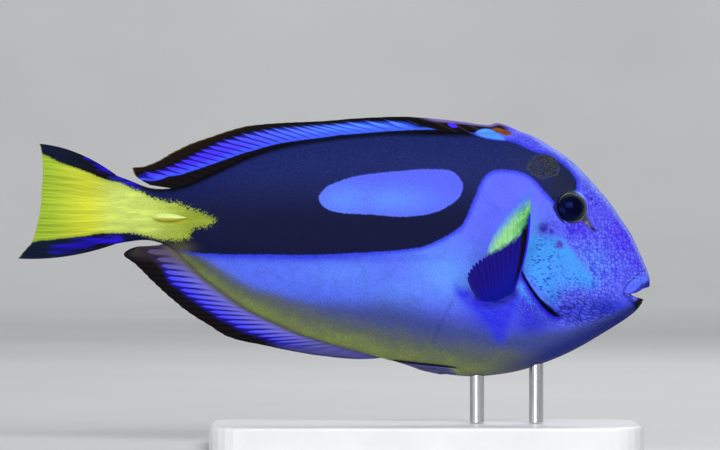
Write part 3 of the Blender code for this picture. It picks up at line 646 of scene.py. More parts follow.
def skin_points():
    """Rings of points round the body, moved out or in by its relief."""
    x = stations()[:, None]
    turn = np.linspace(0, 2 * math.pi, RING_POINTS, endpoint=False)[None, :]
    back, belly, middle, half = section(x)
    up, out = np.sin(turn), np.cos(turn)
    reach = np.where(up > 0, back - middle, middle - belly)
    y = half * np.sign(out) * np.abs(out) ** KEEL
    plain = np.stack([x + 0 * turn, y, middle + up * reach], axis=-1)
    down_body = np.gradient(plain, axis=0)
    round_body = (np.roll(plain, -1, axis=1) - np.roll(plain, 1, axis=1)) / 2
    normal = np.cross(round_body, down_body)
    normal /= np.maximum(np.linalg.norm(normal, axis=2), 1e-9)[..., None]
    centre = np.stack([x + 0 * turn, 0 * y, middle + 0 * turn], axis=-1)
    away = np.sign((normal * (plain - centre)).sum(axis=2))
    normal *= np.where(away == 0, 1, away)[..., None]
    rise = relief(plain.reshape(-1, 3)).reshape(plain.shape[:2])
    ends = step_up(78.4 - x, 0.0, 1.5) * step_up(x, -107.5, -104.0)
    return plain + normal * (rise * ends)[..., None]


def make_skin():
    points = skin_points()
    rows, columns = points.shape[:2]
    faces = grid_faces(rows, columns, closed_columns=True)
    faces += [tuple(range(columns)), tuple(reversed(range((rows - 1) * columns, rows * columns)))]
    mesh = mesh_of("fish_skin", points.reshape(-1, 3), faces)
    outward(mesh)
    body = new_object("fish_skin", mesh)
    boolean(body, new_object("upper_lip", lip_mesh("upper_lip", UPPER_LIP, UPPER_LIP_RADIUS)), "UNION")
    boolean(body, new_object("lower_lip", lip_mesh("lower_lip", LOWER_LIP, LOWER_LIP_RADIUS)), "UNION")
    boolean(body, new_object("mouth", mouth_mesh()), "DIFFERENCE")
    for side in (1, -1):
        for x, z, radius in NOSTRILS:
            out = flank_normal(x, z, side)
            middle = Vector((x, side * float(flank(x, z)), z))
            path = [middle + out * reach for reach in (-1.4, -1.0, -0.4, 0.2, 1.2)]
            sizes = [radius * share for share in (0.5, 0.75, 0.8, 0.95, 1.2)]
            boolean(body, new_object("nostril", tube_mesh("nostril", path, sizes)), "DIFFERENCE")
        boolean(body, new_object("socket", eye_mesh("socket", side, 0.12, 48, 24)), "DIFFERENCE")
    soften_mouth(body)
    mark_skin(body.data)
    body.data.shade_smooth()
    body.data.materials.clear()
    body.data.materials.append(skin_material())
    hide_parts("head", "trunk", "tail_stalk")
    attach(body, BODY)
    return body


def mark_skin(mesh):
    """Stores where each marking and each kind of skin lies."""
    points = points_of(mesh)
    x, y, z = points.T
    height = z - belly_at(x)
    right = y < 0

    def depth(outline):
        return depth_in(from_picture(outline), x, z)

    def patch(outline, fade=0.5):
        return step_up(depth(outline), -fade, fade)

    share, backs = scale_relief(points)
    slit, run = nearest_on(along(from_picture(GILL_SLIT), np.linspace(0, 1, 24)), x, z)
    gape = smooth(SLIT_GAPE, run)
    ahead = ahead_of_slit(x, z)
    # Painted shade on the underside of the head, near the belly line.
    chin = step_up(x, 20.0, 46.0) * (1 - step_up(height, 2.0, 9.0 - 3.5 * step_up(x, 52.0, 66.0)))
    brow = distance_to(np.array(BACK), x, z)
    brow_width = np.interp(x, (30.0, 40.0, 52.0, 66.0, 78.0), (0.9, 1.8, 2.3, 1.7, 0.8))
    on_brow = step_up(x, 33.0, 40.0) * step_up(z, 56.0, 62.0) * (0.3 + 0.7 * step_up(np.abs(y), 0.8, 2.8))
    in_mouth = distance_to(np.array(MOUTH), x, z, closed=True) < 0.35
    inner = np.abs(y) < flank(x, z) - 0.8
    near_eye = np.minimum(eye_distance(points, 1), eye_distance(points, -1))
    round_eye = np.arctan2(z - EYE_CENTRE[1], x - EYE_CENTRE[0])
    groove, groove_run = nearest_on(along(from_picture(EYE_GROOVE), np.linspace(0, 1, 12)), x, z)
    root, root_fold = root_folds(x, z)
    scar_x, scar_z = from_picture(SCAR[:2])
    scar = np.hypot((x - scar_x) / (SCAR[2] * PIXEL), (z - scar_z) / (SCAR[3] * PIXEL))
    turn = np.arctan2(z - scar_z, x - scar_x)
    scar += 0.05 * np.sin(5 * turn + 1.0) + 0.025 * np.sin(13 * turn)
    layers = {
        "black": depth(PALETTE), "oval": depth(OVAL), "yellow": depth(WEDGE),
        "violet": np.maximum(depth(UPPER_VIOLET), depth(LOWER_VIOLET)), "tail": (x + 140.0) / 80.0,
        "front": step_up(x, -30.0, 30.0), "cyan": clouds(CYAN_CLOUDS, x, z), "deep": clouds(SHADOW_CLOUDS, x, z),
        "violet_tint": clouds(VIOLET_CLOUDS, x, z), "forehead": clouds(FOREHEAD, x, z), "cheek": depth(CHEEK),
        "specks": clouds(SPECKED, x, z), "dots": clouds(DOTTED, x, z) * ~ahead,
        "gaps": share * (1 - backs), "backs": share * backs,
        "folds": fold_lines(points) * fold_share(x, z), "upper": step_up(z, 78.0, 100.0),
        # Painted shade: black just under the back's edge, along the base of the dorsal fin.
        "back_edge_shade": (1 - step_up(back_at(x) - z, 0.2, 2.2)) * step_up(26.0 - x, 0.0, 8.0),
        "olive": np.clip(1 - height / smooth(OLIVE_REACH, x), 0, 1),
        "dusk": 1 - step_up(height / smooth(LOWER_SHADE_REACH, x), 0.35, 1.0),
        "belly_front": step_up(x, 8.0, 34.0), "chin": chin,
        "keel": (1 - step_up(height, 0.2, 2.0)) * step_up(45.0 - x, 0.0, 10.0) * step_up(x, -5.0, 5.0),
        # Painted highlight along the top edge of the head: a pale band and a thin bright line.
        "rim": (1 - step_up(brow / brow_width, 0.3, 1.3)) * on_brow, "brow": bell(brow, 0.75) * on_brow,
        "lip": patch(UPPER_LIP_PATCH, 0.6), "lip_edge": patch(LIP_EDGE, 0.6),
        "lower_lip": patch(LOWER_LIP_PATCH, 0.3), "black_tip": patch(BLACK_TIP, 0.5), "crease": crease_lines(x, z),
        # Painted shade: the inside of the mouth is black.
        "inside": in_mouth & inner & (x > 68.0),
        # Painted light at the gill slit: the slit is painted black as shade in the opening, violet-blue painted shade
        # lies behind it, and the cover's edge ahead of it has a cyan painted highlight.
        "slit": (1 - step_up(slit, 0.5 * gape, 1.25 * gape)) * (1 - 0.7 * step_up(run, 0.9, 1.0)),
        "slit_shade": ~ahead * (1 - step_up(slit, gape, gape + 1.9)) * step_up(run, 0.0, 0.12),
        "slit_light": ~ahead * bell(slit - gape - 2.3, 0.7) * step_up(run, 0.1, 0.3) * (1 - step_up(run, 0.4, 0.8)),
        "cover_edge_highlight": ahead * bell(slit - gape - 0.5, 0.5) * (1 - step_up(run, 0.6, 0.9)),
        # Painted light round the eye: the orbit ring is painted light grey on its front and upper side, the lit side,
        # and near-black on the other; the eye glint is a painted highlight just outside its upper front.
        "orbit": bell(near_eye - 5.35, 0.28), "orbit_lit": step_up((x - 51.0) + 0.6 * (z - 83.4), -2.0, 3.0),
        "eye_glint": bell(near_eye - 6.05, 0.45) * bell(round_eye - 0.93, 0.36), "corner": patch(EYE_CORNER, 0.3),
        "groove": bell(groove, 1.15 - 0.55 * groove_run), "groove_end": step_up(groove_run, 0.5, 0.9),
        "groove_root": clouds(GROOVE_ROOT, x, z), "groove_glint": clouds(GROOVE_GLINT, x, z),
        # Painted shade where the pectoral fin leaves the flank, and the fin's painted shadow below it.
        "fin_root_shade": 1 - step_up(root, 0.8, 3.4), "fin_shadow": patch(PECTORAL_SHADOW, 2.4),
        "fin_folds": root_fold, "fin_glow": clouds(FIN_GLOW, x, z),
        "lens": patch(LENS, 0.35), "brown": patch(BROWN_FOLD, 0.35), "nape": patch(NAPE, 1.2),
        "scar": right * (1 - step_up(scar, 0.86, 1.0)), "scar_edge": right * bell(scar - 0.99, 0.045),
        "spots": right * clouds(BLEMISHES, x, z), "red_spot": right * clouds(RED_SPOT, x, z),
        "head_dusk": clouds(HEAD_DUSK, x, z), "rear_olive": clouds(REAR_OLIVE, x, z),
        # Painted shade in a fold behind and below the pectoral fin.
        "flank_fold": bell(distance_to(from_picture(FLANK_FOLD), x, z), 0.55),
        # Painted shade: an ochre line in the groove under the tail blade.
        "spine_groove_shade": bell(distance_to(from_picture(SPINE_CREASE), x, z), 0.42),
    }
    for name, values in layers.items():
        store(mesh, name, values)


class Shade:
    """A material and short ways to add nodes to it."""

    def __init__(self, name):
        self.material = bpy.data.materials.new(name)
        self.material.use_nodes = True
        self.tree = self.material.node_tree
        self.surface = self.tree.nodes["Principled BSDF"]
        place = self.tree.nodes.new("ShaderNodeTexCoord")
        self.place = place.outputs["Object"]

    def plug(self, value, socket):
        if isinstance(value, bpy.types.NodeSocket):
            self.tree.links.new(value, socket)
        elif socket.type == "RGBA":
            socket.default_value = (*(value if isinstance(value, tuple) else (value,) * 3), 1.0)
        else:
            socket.default_value = value

    def attribute(self, name):
        node = self.tree.nodes.new("ShaderNodeAttribute")
        node.attribute_name = name
        return node.outputs["Fac"]

    def math(self, operation, first, second=0.0, clamp=False):
        node = self.tree.nodes.new("ShaderNodeMath")
        node.operation = operation
        node.use_clamp = clamp
        self.plug(first, node.inputs[0])
        self.plug(second, node.inputs[1])
        return node.outputs[0]

    def times(self, *factors):
        product = factors[0]
        for factor in factors[1:]:
            product = self.math("MULTIPLY", product, factor)
        return product

    def ramp(self, value, low, high, start=0.0, end=1.0):
        """Moves a value from low..high to start..end, smoothly and no further."""
        node = self.tree.nodes.new("ShaderNodeMapRange")
        node.interpolation_type = "SMOOTHSTEP"
        for socket, number in zip(("Value", "From Min", "From Max", "To Min", "To Max"), (value, low, high, start, end)):
            self.plug(number, node.inputs[socket])
        return node.outputs["Result"]

    def noise(self, scale, detail=3.0, roughness=0.55, stretch=None):
        node = self.tree.nodes.new("ShaderNodeTexNoise")
        self.plug(self.stretched(stretch), node.inputs["Vector"])
        node.inputs["Scale"].default_value = scale
        node.inputs["Detail"].default_value = detail
        node.inputs["Roughness"].default_value = roughness
        return node.outputs["Fac"]

    def voronoi(self, scale, feature="DISTANCE_TO_EDGE", stretch=None):
        node = self.tree.nodes.new("ShaderNodeTexVoronoi")
        node.feature = feature
        self.plug(self.stretched(stretch), node.inputs["Vector"])
        node.inputs["Scale"].default_value = scale
        return node.outputs["Distance"]

    def stretched(self, stretch):
        if not stretch:
            return self.place
        node = self.tree.nodes.new("ShaderNodeMapping")
        self.plug(self.place, node.inputs["Vector"])
        node.inputs["Scale"].default_value = stretch
        return node.outputs["Vector"]

    def mix(self, share, first, second):
        node = self.tree.nodes.new("ShaderNodeMix")
        node.data_type = "RGBA"
        self.plug(share, node.inputs["Factor"])
        self.plug(first, node.inputs[6])
        self.plug(second, node.inputs[7])
        return node.outputs[2]

    def tint(self, colour, factor):
        """A colour made lighter or darker by a number."""
        node = self.tree.nodes.new("ShaderNodeMix")
        node.data_type = "RGBA"
        node.blend_type = "MULTIPLY"
        node.inputs["Factor"].default_value = 1.0
        self.plug(colour, node.inputs[6])
        self.plug(factor, node.inputs[7])
        return node.outputs[2]

    def bump(self, height, strength, distance, below=None):
        node = self.tree.nodes.new("ShaderNodeBump")
        self.plug(height, node.inputs["Height"])
        node.inputs["Strength"].default_value = strength
        node.inputs["Distance"].default_value = distance
        if below:
            self.plug(below, node.inputs["Normal"])
        return node.outputs["Normal"]

    def finish(self, colour, roughness, normal=None, **constants):
        self.plug(colour, self.surface.inputs["Base Color"])
        self.plug(roughness, self.surface.inputs["Roughness"])
        if normal:
            self.plug(normal, self.surface.inputs["Normal"])
        for name, value in constants.items():
            self.plug(value, self.surface.inputs[name.replace("_", " ")])
        return self.material


# Colours of the skin
FLANK_BLUE = (0.09, 0.155, 0.86)
SHOULDER_BLUE = (0.115, 0.145, 0.95)
OVAL_BLUE = (0.095, 0.125, 0.9)
CYAN_BLUE = (0.12, 0.3, 0.98)
CHEEK_CYAN = (0.062, 0.35, 0.98)
# Deep blue for the net of the nape and for painted shadow.
NAPE_NET_AND_SHADOW_BLUE = (0.024, 0.034, 0.66)
NAPE_BLUE = (0.12, 0.12, 0.95)
SNOUT_VIOLET = (0.09, 0.045, 0.93)
FRINGE_BLUE = (0.015, 0.02, 0.72)
PEBBLE_DARK = (0.018, 0.014, 0.6)
PEBBLE_BACK = (0.17, 0.22, 1.0)
SPECK_BLUE = (0.02, 0.06, 0.55)
FOREHEAD_PALE = (0.175, 0.15, 1.0)
BROW_HIGHLIGHT = (0.38, 0.48, 1.0)
RIM_HIGHLIGHT = (0.24, 0.35, 1.0)
NAVY = (0.003, 0.005, 0.038)
NAVY_LIT_TOP = (0.011, 0.019, 0.125)
NAVY_SHEEN = (0.03, 0.055, 0.22)
HEAD_BLACK = (0.014, 0.019, 0.05)
REAR_KHAKI = (0.09, 0.085, 0.045)
CREASE_SHADE_NAVY = (0.01, 0.017, 0.26)
UNDERSIDE_AND_FOLD_SHADE = (0.014, 0.024, 0.21)
# Painted shade for the lower flank.
DUSK = (0.052, 0.071, 0.25)
BELLY_KHAKI = (0.11, 0.13, 0.115)
OLIVE = (0.19, 0.235, 0.085)
BELLY_GREY = (0.118, 0.132, 0.12)
LAVENDER = (0.12, 0.12, 0.2)
YELLOW = (0.54, 0.57, 0.035)
YELLOW_PALE = (0.53, 0.64, 0.13)
YELLOW_GREEN = (0.2, 0.33, 0.02)
YELLOW_DARK = (0.25, 0.32, 0.03)
YELLOW_BRIGHT = (0.6, 0.74, 0.08)
BLACK = (0.003, 0.004, 0.008)
ROOT_SHADE_NAVY = (0.008, 0.012, 0.3)
GLOW_BLUE = (0.03, 0.02, 0.92)
LENS_BLUE = (0.09, 0.32, 0.97)
FOLD_BROWN = (0.22, 0.065, 0.012)


def skin_material():
    """Moist skin: blue, with near-black bands, a blue oval and a yellow wedge, over fine scales."""
    s = Shade("fish_skin")
    mottle = s.noise(200.0, 3.0)
    fine = s.noise(900.0, 3.0, 0.6)
    grain = s.noise(2400.0, 2.0, 0.6)
    scales = s.ramp(s.voronoi(1500.0, stretch=(0.8, 1.0, 1.1)), 0.02, 0.38)
    dots = s.voronoi(760.0, "F1", (0.8, 1.0, 1.25))

    def over(base, layers):
        for name, strength, tone in layers:
            base = s.mix(s.times(s.attribute(name), strength), base, tone)
        return base

    cheek_depth = s.math("ADD", s.attribute("cheek"), s.times(s.math("SUBTRACT", fine, 0.5), 2.4))
    blue = over(FLANK_BLUE, (
        # the deep clouds are painted shadow
        ("front", 1.0, SHOULDER_BLUE), ("cyan", 1.0, CYAN_BLUE), ("deep", 1.0, NAPE_NET_AND_SHADOW_BLUE),
        ("violet_tint", 1.0, SNOUT_VIOLET), ("nape", 0.8, NAPE_BLUE),
    ))
    blue = s.mix(s.ramp(cheek_depth, -2.2, 1.6), blue, CHEEK_CYAN)
    blue = s.mix(s.times(s.attribute("forehead"), s.ramp(fine, 0.35, 0.6, 0.4, 0.9)), blue, FOREHEAD_PALE)
    back_tone = s.mix(s.attribute("violet_tint"), PEBBLE_BACK, (0.15, 0.11, 1.0))
    back_tone = s.mix(s.attribute("cyan"), back_tone, (0.14, 0.36, 1.0))
    blue = over(blue, (
        ("slit_light", 0.9, CHEEK_CYAN), ("gaps", s.ramp(mottle, 0.3, 0.6, 0.6, 0.9), PEBBLE_DARK),
        ("backs", s.ramp(fine, 0.3, 0.6, 0.2, 0.75), back_tone),
        ("specks", s.times(s.ramp(dots, 0.42, 0.26), s.ramp(mottle, 0.3, 0.45), 0.85), SPECK_BLUE),
        ("dots", s.ramp(s.voronoi(1250.0), 0.28, 0.05, 0.0, 0.85), PEBBLE_DARK),
        # Painted shade: navy in the hollows of the throat's wrinkles.
        ("folds", 0.85, CREASE_SHADE_NAVY), ("nape", s.ramp(s.voronoi(620.0), 0.14, 0.0, 0.0, 0.5), NAPE_NET_AND_SHADOW_BLUE),
        # Painted highlight along the forehead's top edge.
        ("rim", s.ramp(fine, 0.4, 0.62, 0.25, 0.95), RIM_HIGHLIGHT), ("brow", 0.8, BROW_HIGHLIGHT),
    ))
    blue = s.tint(blue, s.ramp(mottle, 0.25, 0.75, 0.92, 1.08))
    soft = s.times(s.math("SUBTRACT", fine, 0.5), 0.3)
    # Painted shade: the lower flank darkens towards the belly.
    blue = s.mix(s.ramp(s.math("ADD", s.attribute("dusk"), soft), 0.0, 0.9, 0.0, 0.95), blue, DUSK)
    olive = s.math("ADD", s.attribute("olive"), s.times(s.math("SUBTRACT", mottle, 0.5), 0.36))
    green = s.mix(s.times(s.ramp(fine, 0.4, 0.66), s.ramp(mottle, 0.42, 0.65), 0.75), OLIVE, (0.26, 0.36, 0.06))
    khaki = s.mix(s.ramp(olive, 0.45, 0.9), BELLY_KHAKI, s.mix(s.attribute("belly_front"), green, BELLY_GREY))
    blue = s.mix(s.ramp(s.math("ADD", olive, soft), 0.0, 0.6), blue, khaki)
    # Painted shade: navy under the head and in the flank fold.
    blue = over(blue, (("chin", 0.95, UNDERSIDE_AND_FOLD_SHADE), ("keel", 0.5, LAVENDER), ("flank_fold", 0.35, UNDERSIDE_AND_FOLD_SHADE)))
    edge = s.times(s.math("SUBTRACT", fine, 0.5), 0.8)
    black_depth = s.math("ADD", s.attribute("black"), edge)
    blue = s.mix(s.times(s.ramp(black_depth, -2.0, -0.2), 0.7), blue, FRINGE_BLUE)
    # Painted light: the black band is painted lighter navy towards the top, with a painted sheen on the scales of its
    # upper part.
    navy = s.mix(s.attribute("upper"), NAVY, NAVY_LIT_TOP)
    sheen = s.times(s.ramp(scales, 0.4, 1.0), s.ramp(fine, 0.4, 0.75), s.attribute("upper"), 0.6)
    # Painted shade: black just under the back's edge, along the base of the dorsal fin.
    navy = s.mix(s.attribute("back_edge_shade"), s.mix(sheen, navy, NAVY_SHEEN), BLACK)
    navy = s.mix(s.times(s.attribute("head_dusk"), s.ramp(mottle, 0.3, 0.6, 0.7, 1.0)), navy, HEAD_BLACK)
    colour = s.mix(s.ramp(black_depth, -0.28, 0.32), blue, navy)
    oval = s.mix(s.attribute("cyan"), OVAL_BLUE, CYAN_BLUE)
    colour = s.mix(s.ramp(s.math("ADD", s.attribute("oval"), edge), -0.3, 0.3), colour, oval)
    colour = s.mix(s.times(s.attribute("rear_olive"), 0.85), colour, REAR_KHAKI)
    colour = paint_tail(s, colour)
    scar = s.mix(s.ramp(grain, 0.42, 0.58), (0.014, 0.019, 0.018), (0.052, 0.06, 0.09))
    scar = s.mix(s.ramp(mottle, 0.42, 0.58), scar, s.tint(scar, (0.8, 0.75, 1.6)))
    spot = s.ramp(fine, 0.25, 0.6, 0.6, 1.0)
    colour = over(colour, (
        ("scar", 1.0, scar), ("scar_edge", s.ramp(mottle, 0.35, 0.6, 0.1, 0.7), (0.085, 0.105, 0.085)),
        ("spots", spot, (0.028, 0.026, 0.4)), ("red_spot", spot, (0.08, 0.028, 0.42)),
        # Painted light: the eye glint is a painted highlight, and the orbit ring below is light grey on its lit side.
        ("corner", 0.95, (0.004, 0.004, 0.07)), ("eye_glint", 0.9, (0.3, 0.5, 1.0)),
        ("orbit", 0.9, s.mix(s.attribute("orbit_lit"), (0.004, 0.005, 0.03), (0.13, 0.13, 0.14))),
        ("groove", 1.0, s.mix(s.attribute("groove_end"), (0.07, 0.062, 0.075), (0.008, 0.01, 0.14))),
        ("groove_root", 0.9, (0.05, 0.055, 0.075)), ("groove_glint", 0.85, (0.3, 0.29, 0.16)),
        # Painted shadow of the pectoral fin, varied by the skin's folds, then painted shade at the fin's root.
        ("fin_shadow", s.ramp(s.attribute("fin_folds"), 0.1, 0.9, 0.7, 0.95), (0.02, 0.024, 0.78)),
        ("fin_root_shade", s.ramp(s.attribute("fin_folds"), 0.1, 0.9, 0.8, 1.0), ROOT_SHADE_NAVY),
        # Painted light at the gill slit: shade behind it, a highlight on the cover's edge, and the slit itself black
        # as shade in the opening.
        ("fin_glow", 0.8, GLOW_BLUE), ("slit_shade", 0.95, (0.018, 0.01, 0.62)), ("cover_edge_highlight", 0.4, CHEEK_CYAN),
        ("slit", 1.0, (0.003, 0.004, 0.02)), ("lens", 1.0, LENS_BLUE), ("brown", 1.0, FOLD_BROWN),
        ("lip", 0.55, (0.11, 0.17, 0.98)), ("lip_edge", 0.85, (0.012, 0.012, 0.3)),
        # Painted shade: navy in the hollows of the lip creases.
        ("lower_lip", 1.0, (0.15, 0.12, 0.85)), ("black_tip", 1.0, BLACK), ("crease", 0.95, CREASE_SHADE_NAVY),
        # Painted shade: black inside the mouth.
        ("inside", 1.0, BLACK), ("spine_groove_shade", 0.85, (0.42, 0.36, 0.01)),
    ))
    plain = s.ramp(s.attribute("yellow"), -0.5, 0.5, 1.0, 0.1)
    colour = s.mix(plain, colour, s.tint(colour, s.ramp(scales, 0.0, 1.0, 0.84, 1.05)))
    colour = s.tint(colour, s.ramp(grain, 0.3, 0.7, 0.92, 1.08))
    bump = s.bump(s.times(scales, plain), 0.3, 0.00008)
    bump = s.bump(s.times(grain, s.attribute("scar")), 0.8, 0.0004, bump)
    roughness = s.ramp(grain, 0.3, 0.75, 0.42, 0.55)
    return s.finish(colour, roughness, bump, Specular_IOR_Level=0.05)


def paint_tail(s, around):
    """The yellow of the tail and the violet of its lobes, alike on the skin and the fin."""
    tail, depth = s.attribute("tail"), s.attribute("yellow")
    yellow = s.mix(s.ramp(tail, 0.06, 0.3), YELLOW_GREEN, YELLOW)
    yellow = s.mix(s.ramp(tail, 0.26, 0.42), yellow, YELLOW_PALE)
    yellow = s.mix(s.ramp(tail, 0.5, 0.76), yellow, YELLOW_DARK)
    streak = s.noise(1000.0, 3.0, 0.6, (0.04, 1.0, 1.0))
    broad = s.noise(420.0, 2.0, 0.5, (0.05, 1.0, 1.0))
    fleck = s.voronoi(1600.0, "F1")
    yellow = s.tint(yellow, s.ramp(streak, 0.3, 0.7, 0.92, 1.06))
    yellow = s.tint(yellow, s.ramp(broad, 0.35, 0.65, 0.86, 1.1))
    yellow = s.mix(s.times(s.ramp(fleck, 0.25, 0.6), s.ramp(tail, 0.5, 0.75), 0.5), yellow, YELLOW_DARK)
    yellow = s.mix(s.ramp(depth, 1.6, 0.0, 0.0, 0.5), yellow, YELLOW_DARK)
    edge = s.times(s.math("SUBTRACT", 0.42, fleck), s.ramp(tail, 0.35, 0.72, 0.4, 3.0))
    violet = s.ramp(s.math("ADD", s.attribute("violet"), s.times(s.math("SUBTRACT", streak, 0.5), 6.0)), -0.9, 1.4)
    tone = s.mix(s.ramp(tail, 0.16, 0.36), TAIL_VIOLET, TAIL_BRIGHT)
    colour = s.mix(violet, around, s.tint(tone, s.ramp(streak, 0.35, 0.65, 0.45, 1.25)))
    soft = s.ramp(tail, 0.4, 0.7, 0.4, 1.0)
    return s.mix(s.ramp(s.math("ADD", depth, edge), s.times(soft, -1.0), soft), colour, yellow)


def eye_mesh(name, side, grow=0.0, around=64, down=40):
    """An eyeball flattened along the way it looks, its pole at the front."""
    centre, out = eye_frame(side)
    sink = EYE_DEPTH - EYE_BULGE
    full = EYE_RADIUS / math.sqrt(1 - (sink / EYE_DEPTH) ** 2)
    turn = out.to_track_quat("Z", "Y")
    points = []
    for i in range(1, down):
        tilt = math.pi * i / down
        for k in range(around):
            angle = 2 * math.pi * k / around
            spot = Vector((
                math.sin(tilt) * math.cos(angle) * (full + grow),
                math.sin(tilt) * math.sin(angle) * (full + grow),
                math.cos(tilt) * (EYE_DEPTH + grow),
            ))
            points.append(centre + turn @ spot)
    faces = grid_faces(down - 1, around, closed_columns=True)
    points += [centre + turn @ Vector((0, 0, EYE_DEPTH + grow)), centre - turn @ Vector((0, 0, EYE_DEPTH + grow))]
    front, rear, last = len(points) - 2, len(points) - 1, (down - 2) * around
    faces += [(front, (k + 1) % around, k) for k in range(around)]
    faces += [(rear, last + k, last + (k + 1) % around) for k in range(around)]
    mesh = mesh_of(name, points, faces)
    outward(mesh)
    return mesh


def eye_material():
    """A near-black pupil in a dark green iris with a thin pale rim, glossy, with a blue tint to its shine."""
    s = Shade("eye")
    # Painted light: the green of the iris and the pale rim are painted only towards the lit side, the front and top,
    # and fade away from it.
    away, lit = s.attribute("from_middle"), s.attribute("lit")
    colour = s.mix(s.ramp(away, 0.45, 0.8), (0.001, 0.001, 0.012), (0.002, 0.003, 0.018))
    green = s.times(s.ramp(away, 0.62, 0.86), s.ramp(s.noise(700.0, 3.0), 0.3, 0.7, 0.5, 1.0), s.ramp(lit, -0.3, 0.7))
    colour = s.mix(green, colour, (0.028, 0.055, 0.022))
    colour = s.mix(s.times(s.ramp(away, 0.9, 0.97), s.ramp(lit, -0.7, 0.3)), colour, (0.17, 0.17, 0.16))
    return s.finish(colour, 0.2, Specular_IOR_Level=0.16, Specular_Tint=(0.05, 0.16, 1.0))


def make_eyes():
    shade = eye_material()
    for name, side in (("left", 1), ("right", -1)):
        mesh = eye_mesh(f"fish_eye_{name}", side)
        points = points_of(mesh)
        centre, out = eye_frame(side)
        gap = points - np.array(centre)
        across = np.linalg.norm(gap - (gap @ np.array(out))[:, None] * np.array(out), axis=1)
        store(mesh, "from_middle", across / EYE_RADIUS)
        # How far a point lies towards the front and top of the eye, the side painted as lit.
        store(mesh, "lit", (gap[:, 0] + 0.5 * gap[:, 2]) / EYE_RADIUS)
        eye = new_object(f"fish_eye_{name}", mesh)
        mesh.materials.append(shade)
        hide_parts(f"eye_{name}")
        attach(eye, BODY)


def fin_columns(rays, between):
    """Places across a fin, with several between each two rays, and each place's ray and gap share."""
    across, phase, gap_width = [], [], []
    for i, ray in enumerate(rays[:-1]):
        width = rays[i + 1] - ray
        for k in range(between):
            share = k / between
            across.append(ray + share * width)
            phase.append(share if share < 0.5 else share - 1)
            gap_width.append(width)
    across.append(rays[-1])
    phase.append(0.0)
    gap_width.append(rays[-1] - rays[-2])
    return np.array(across), np.array(phase), np.array(gap_width)


def make_fin(name, node, place, rays, look, material):
    """A thin closed fin: two faces over a middle surface, with each ray a ridge that forks."""
    across, phase, _ = fin_columns(rays, look["between"])
    up = np.linspace(0, 1, look["rows"])
    a, u = np.meshgrid(across, up, indexing="ij")
    p = np.broadcast_to(phase[:, None], a.shape)
    wobble = random_at(np.stack([np.round(a * (len(rays) - 1)), 0 * a, 0 * a], axis=-1).reshape(-1, 3), 3.7)
    wobble = wobble.reshape(*a.shape, 3)
    notch = look["notch"] * (1 - np.cos(2 * math.pi * p)) / 2 + look["ragged"] * wobble[..., 0]
    notch = notch + look["fringe"] * (1 - np.abs(np.cos(2 * math.pi * p)) ** 0.7) * step_up(a, 0.35, 0.6)
    reach = u * (1 - notch * u**3)
    middle = place(a, reach)
    fork = look["fork"] * step_up(u, 0.35, 1.0)
    width = 0.10 + 0.05 * u
    ridge = np.maximum(bell(p - fork, width), bell(p + fork, width))
    strength = look["ray"] * (1 - look["taper"] * u)
    joints = 1 - look["joints"] * (0.5 + 0.5 * np.sin(u * look["rows"] * 1.57)) * step_up(u, 0.25, 0.5)
    half_thickness = look["membrane"] + strength * ridge * joints
    half_thickness = half_thickness * (1 - 0.45 * step_up(u, 0.9, 1.0))
    half_thickness += look["folds"] * (1 - step_up(a, 0.02, 0.24)) * np.sin(math.pi * np.clip(u * 1.1, 0, 1)) ** 0.7
    across_fin = np.gradient(middle, axis=0)
    up_fin = np.gradient(middle, axis=1)
    normal = np.cross(across_fin, up_fin)
    normal /= np.maximum(np.linalg.norm(normal, axis=2), 1e-9)[..., None]
    wave = look["wave"] * u * np.sin(2 * math.pi * p + 1.3) + look["sway"] * u**2 * np.sin(a * 9.0 + u * 2.5)
    middle = middle + normal * wave[..., None]
    front = middle + normal * half_thickness[..., None]
    rear = middle - normal * half_thickness[..., None]
    rows, columns = a.shape
    count = rows * columns
    points = np.concatenate([front.reshape(-1, 3), rear.reshape(-1, 3)])
    faces = grid_faces(rows, columns)
    faces += [tuple(i + count for i in reversed(face)) for face in faces]
    border = [k for k in range(columns)]
    border += [i * columns + columns - 1 for i in range(1, rows)]
    border += [(rows - 1) * columns + k for k in range(columns - 2, -1, -1)]
    border += [i * columns for i in range(rows - 2, 0, -1)]
    for first, second in zip(border, border[1:] + border[:1]):
        faces.append((second, first, first + count, second + count))
    mesh = mesh_of(name, points, faces)
    outward(mesh)
    x, _, z = points_of(mesh).T
    for layer, values in (("ray", ridge), ("up", u), ("across", a), ("gap", np.abs(p))):
        store(mesh, layer, np.tile(values.reshape(-1), 2))
    store(mesh, "tail", (x + 140.0) / 80.0)
    for layer, outlines in look.get("zones", {}).items():
        store(mesh, layer, np.max([depth_in(outline, x, z) for outline in outlines], axis=0))
    fin = new_object(name, mesh)
    mesh.set_sharp_from_angle(angle=math.radians(70))
    mesh.materials.append(material)
    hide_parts(node)
    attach(fin, BODY)
    return fin


ROOT_SINK = 1.2  # how deep a fin's rays start below the skin


def folded_place(base, profile, margin, lean, sink):
    """A fin along the back or the belly, whose rays lie back."""

    def place(across, up):
        x = base[0] + (base[1] - base[0]) * across
        edge = along(margin, smooth(lean, across.ravel())).reshape(*across.shape, 2)
        root_z = profile(x) + sink
        return np.stack([
            x + (edge[..., 0] - x) * up,
            0 * x,
            root_z + (edge[..., 1] - root_z) * up,
        ], axis=-1)

    return place


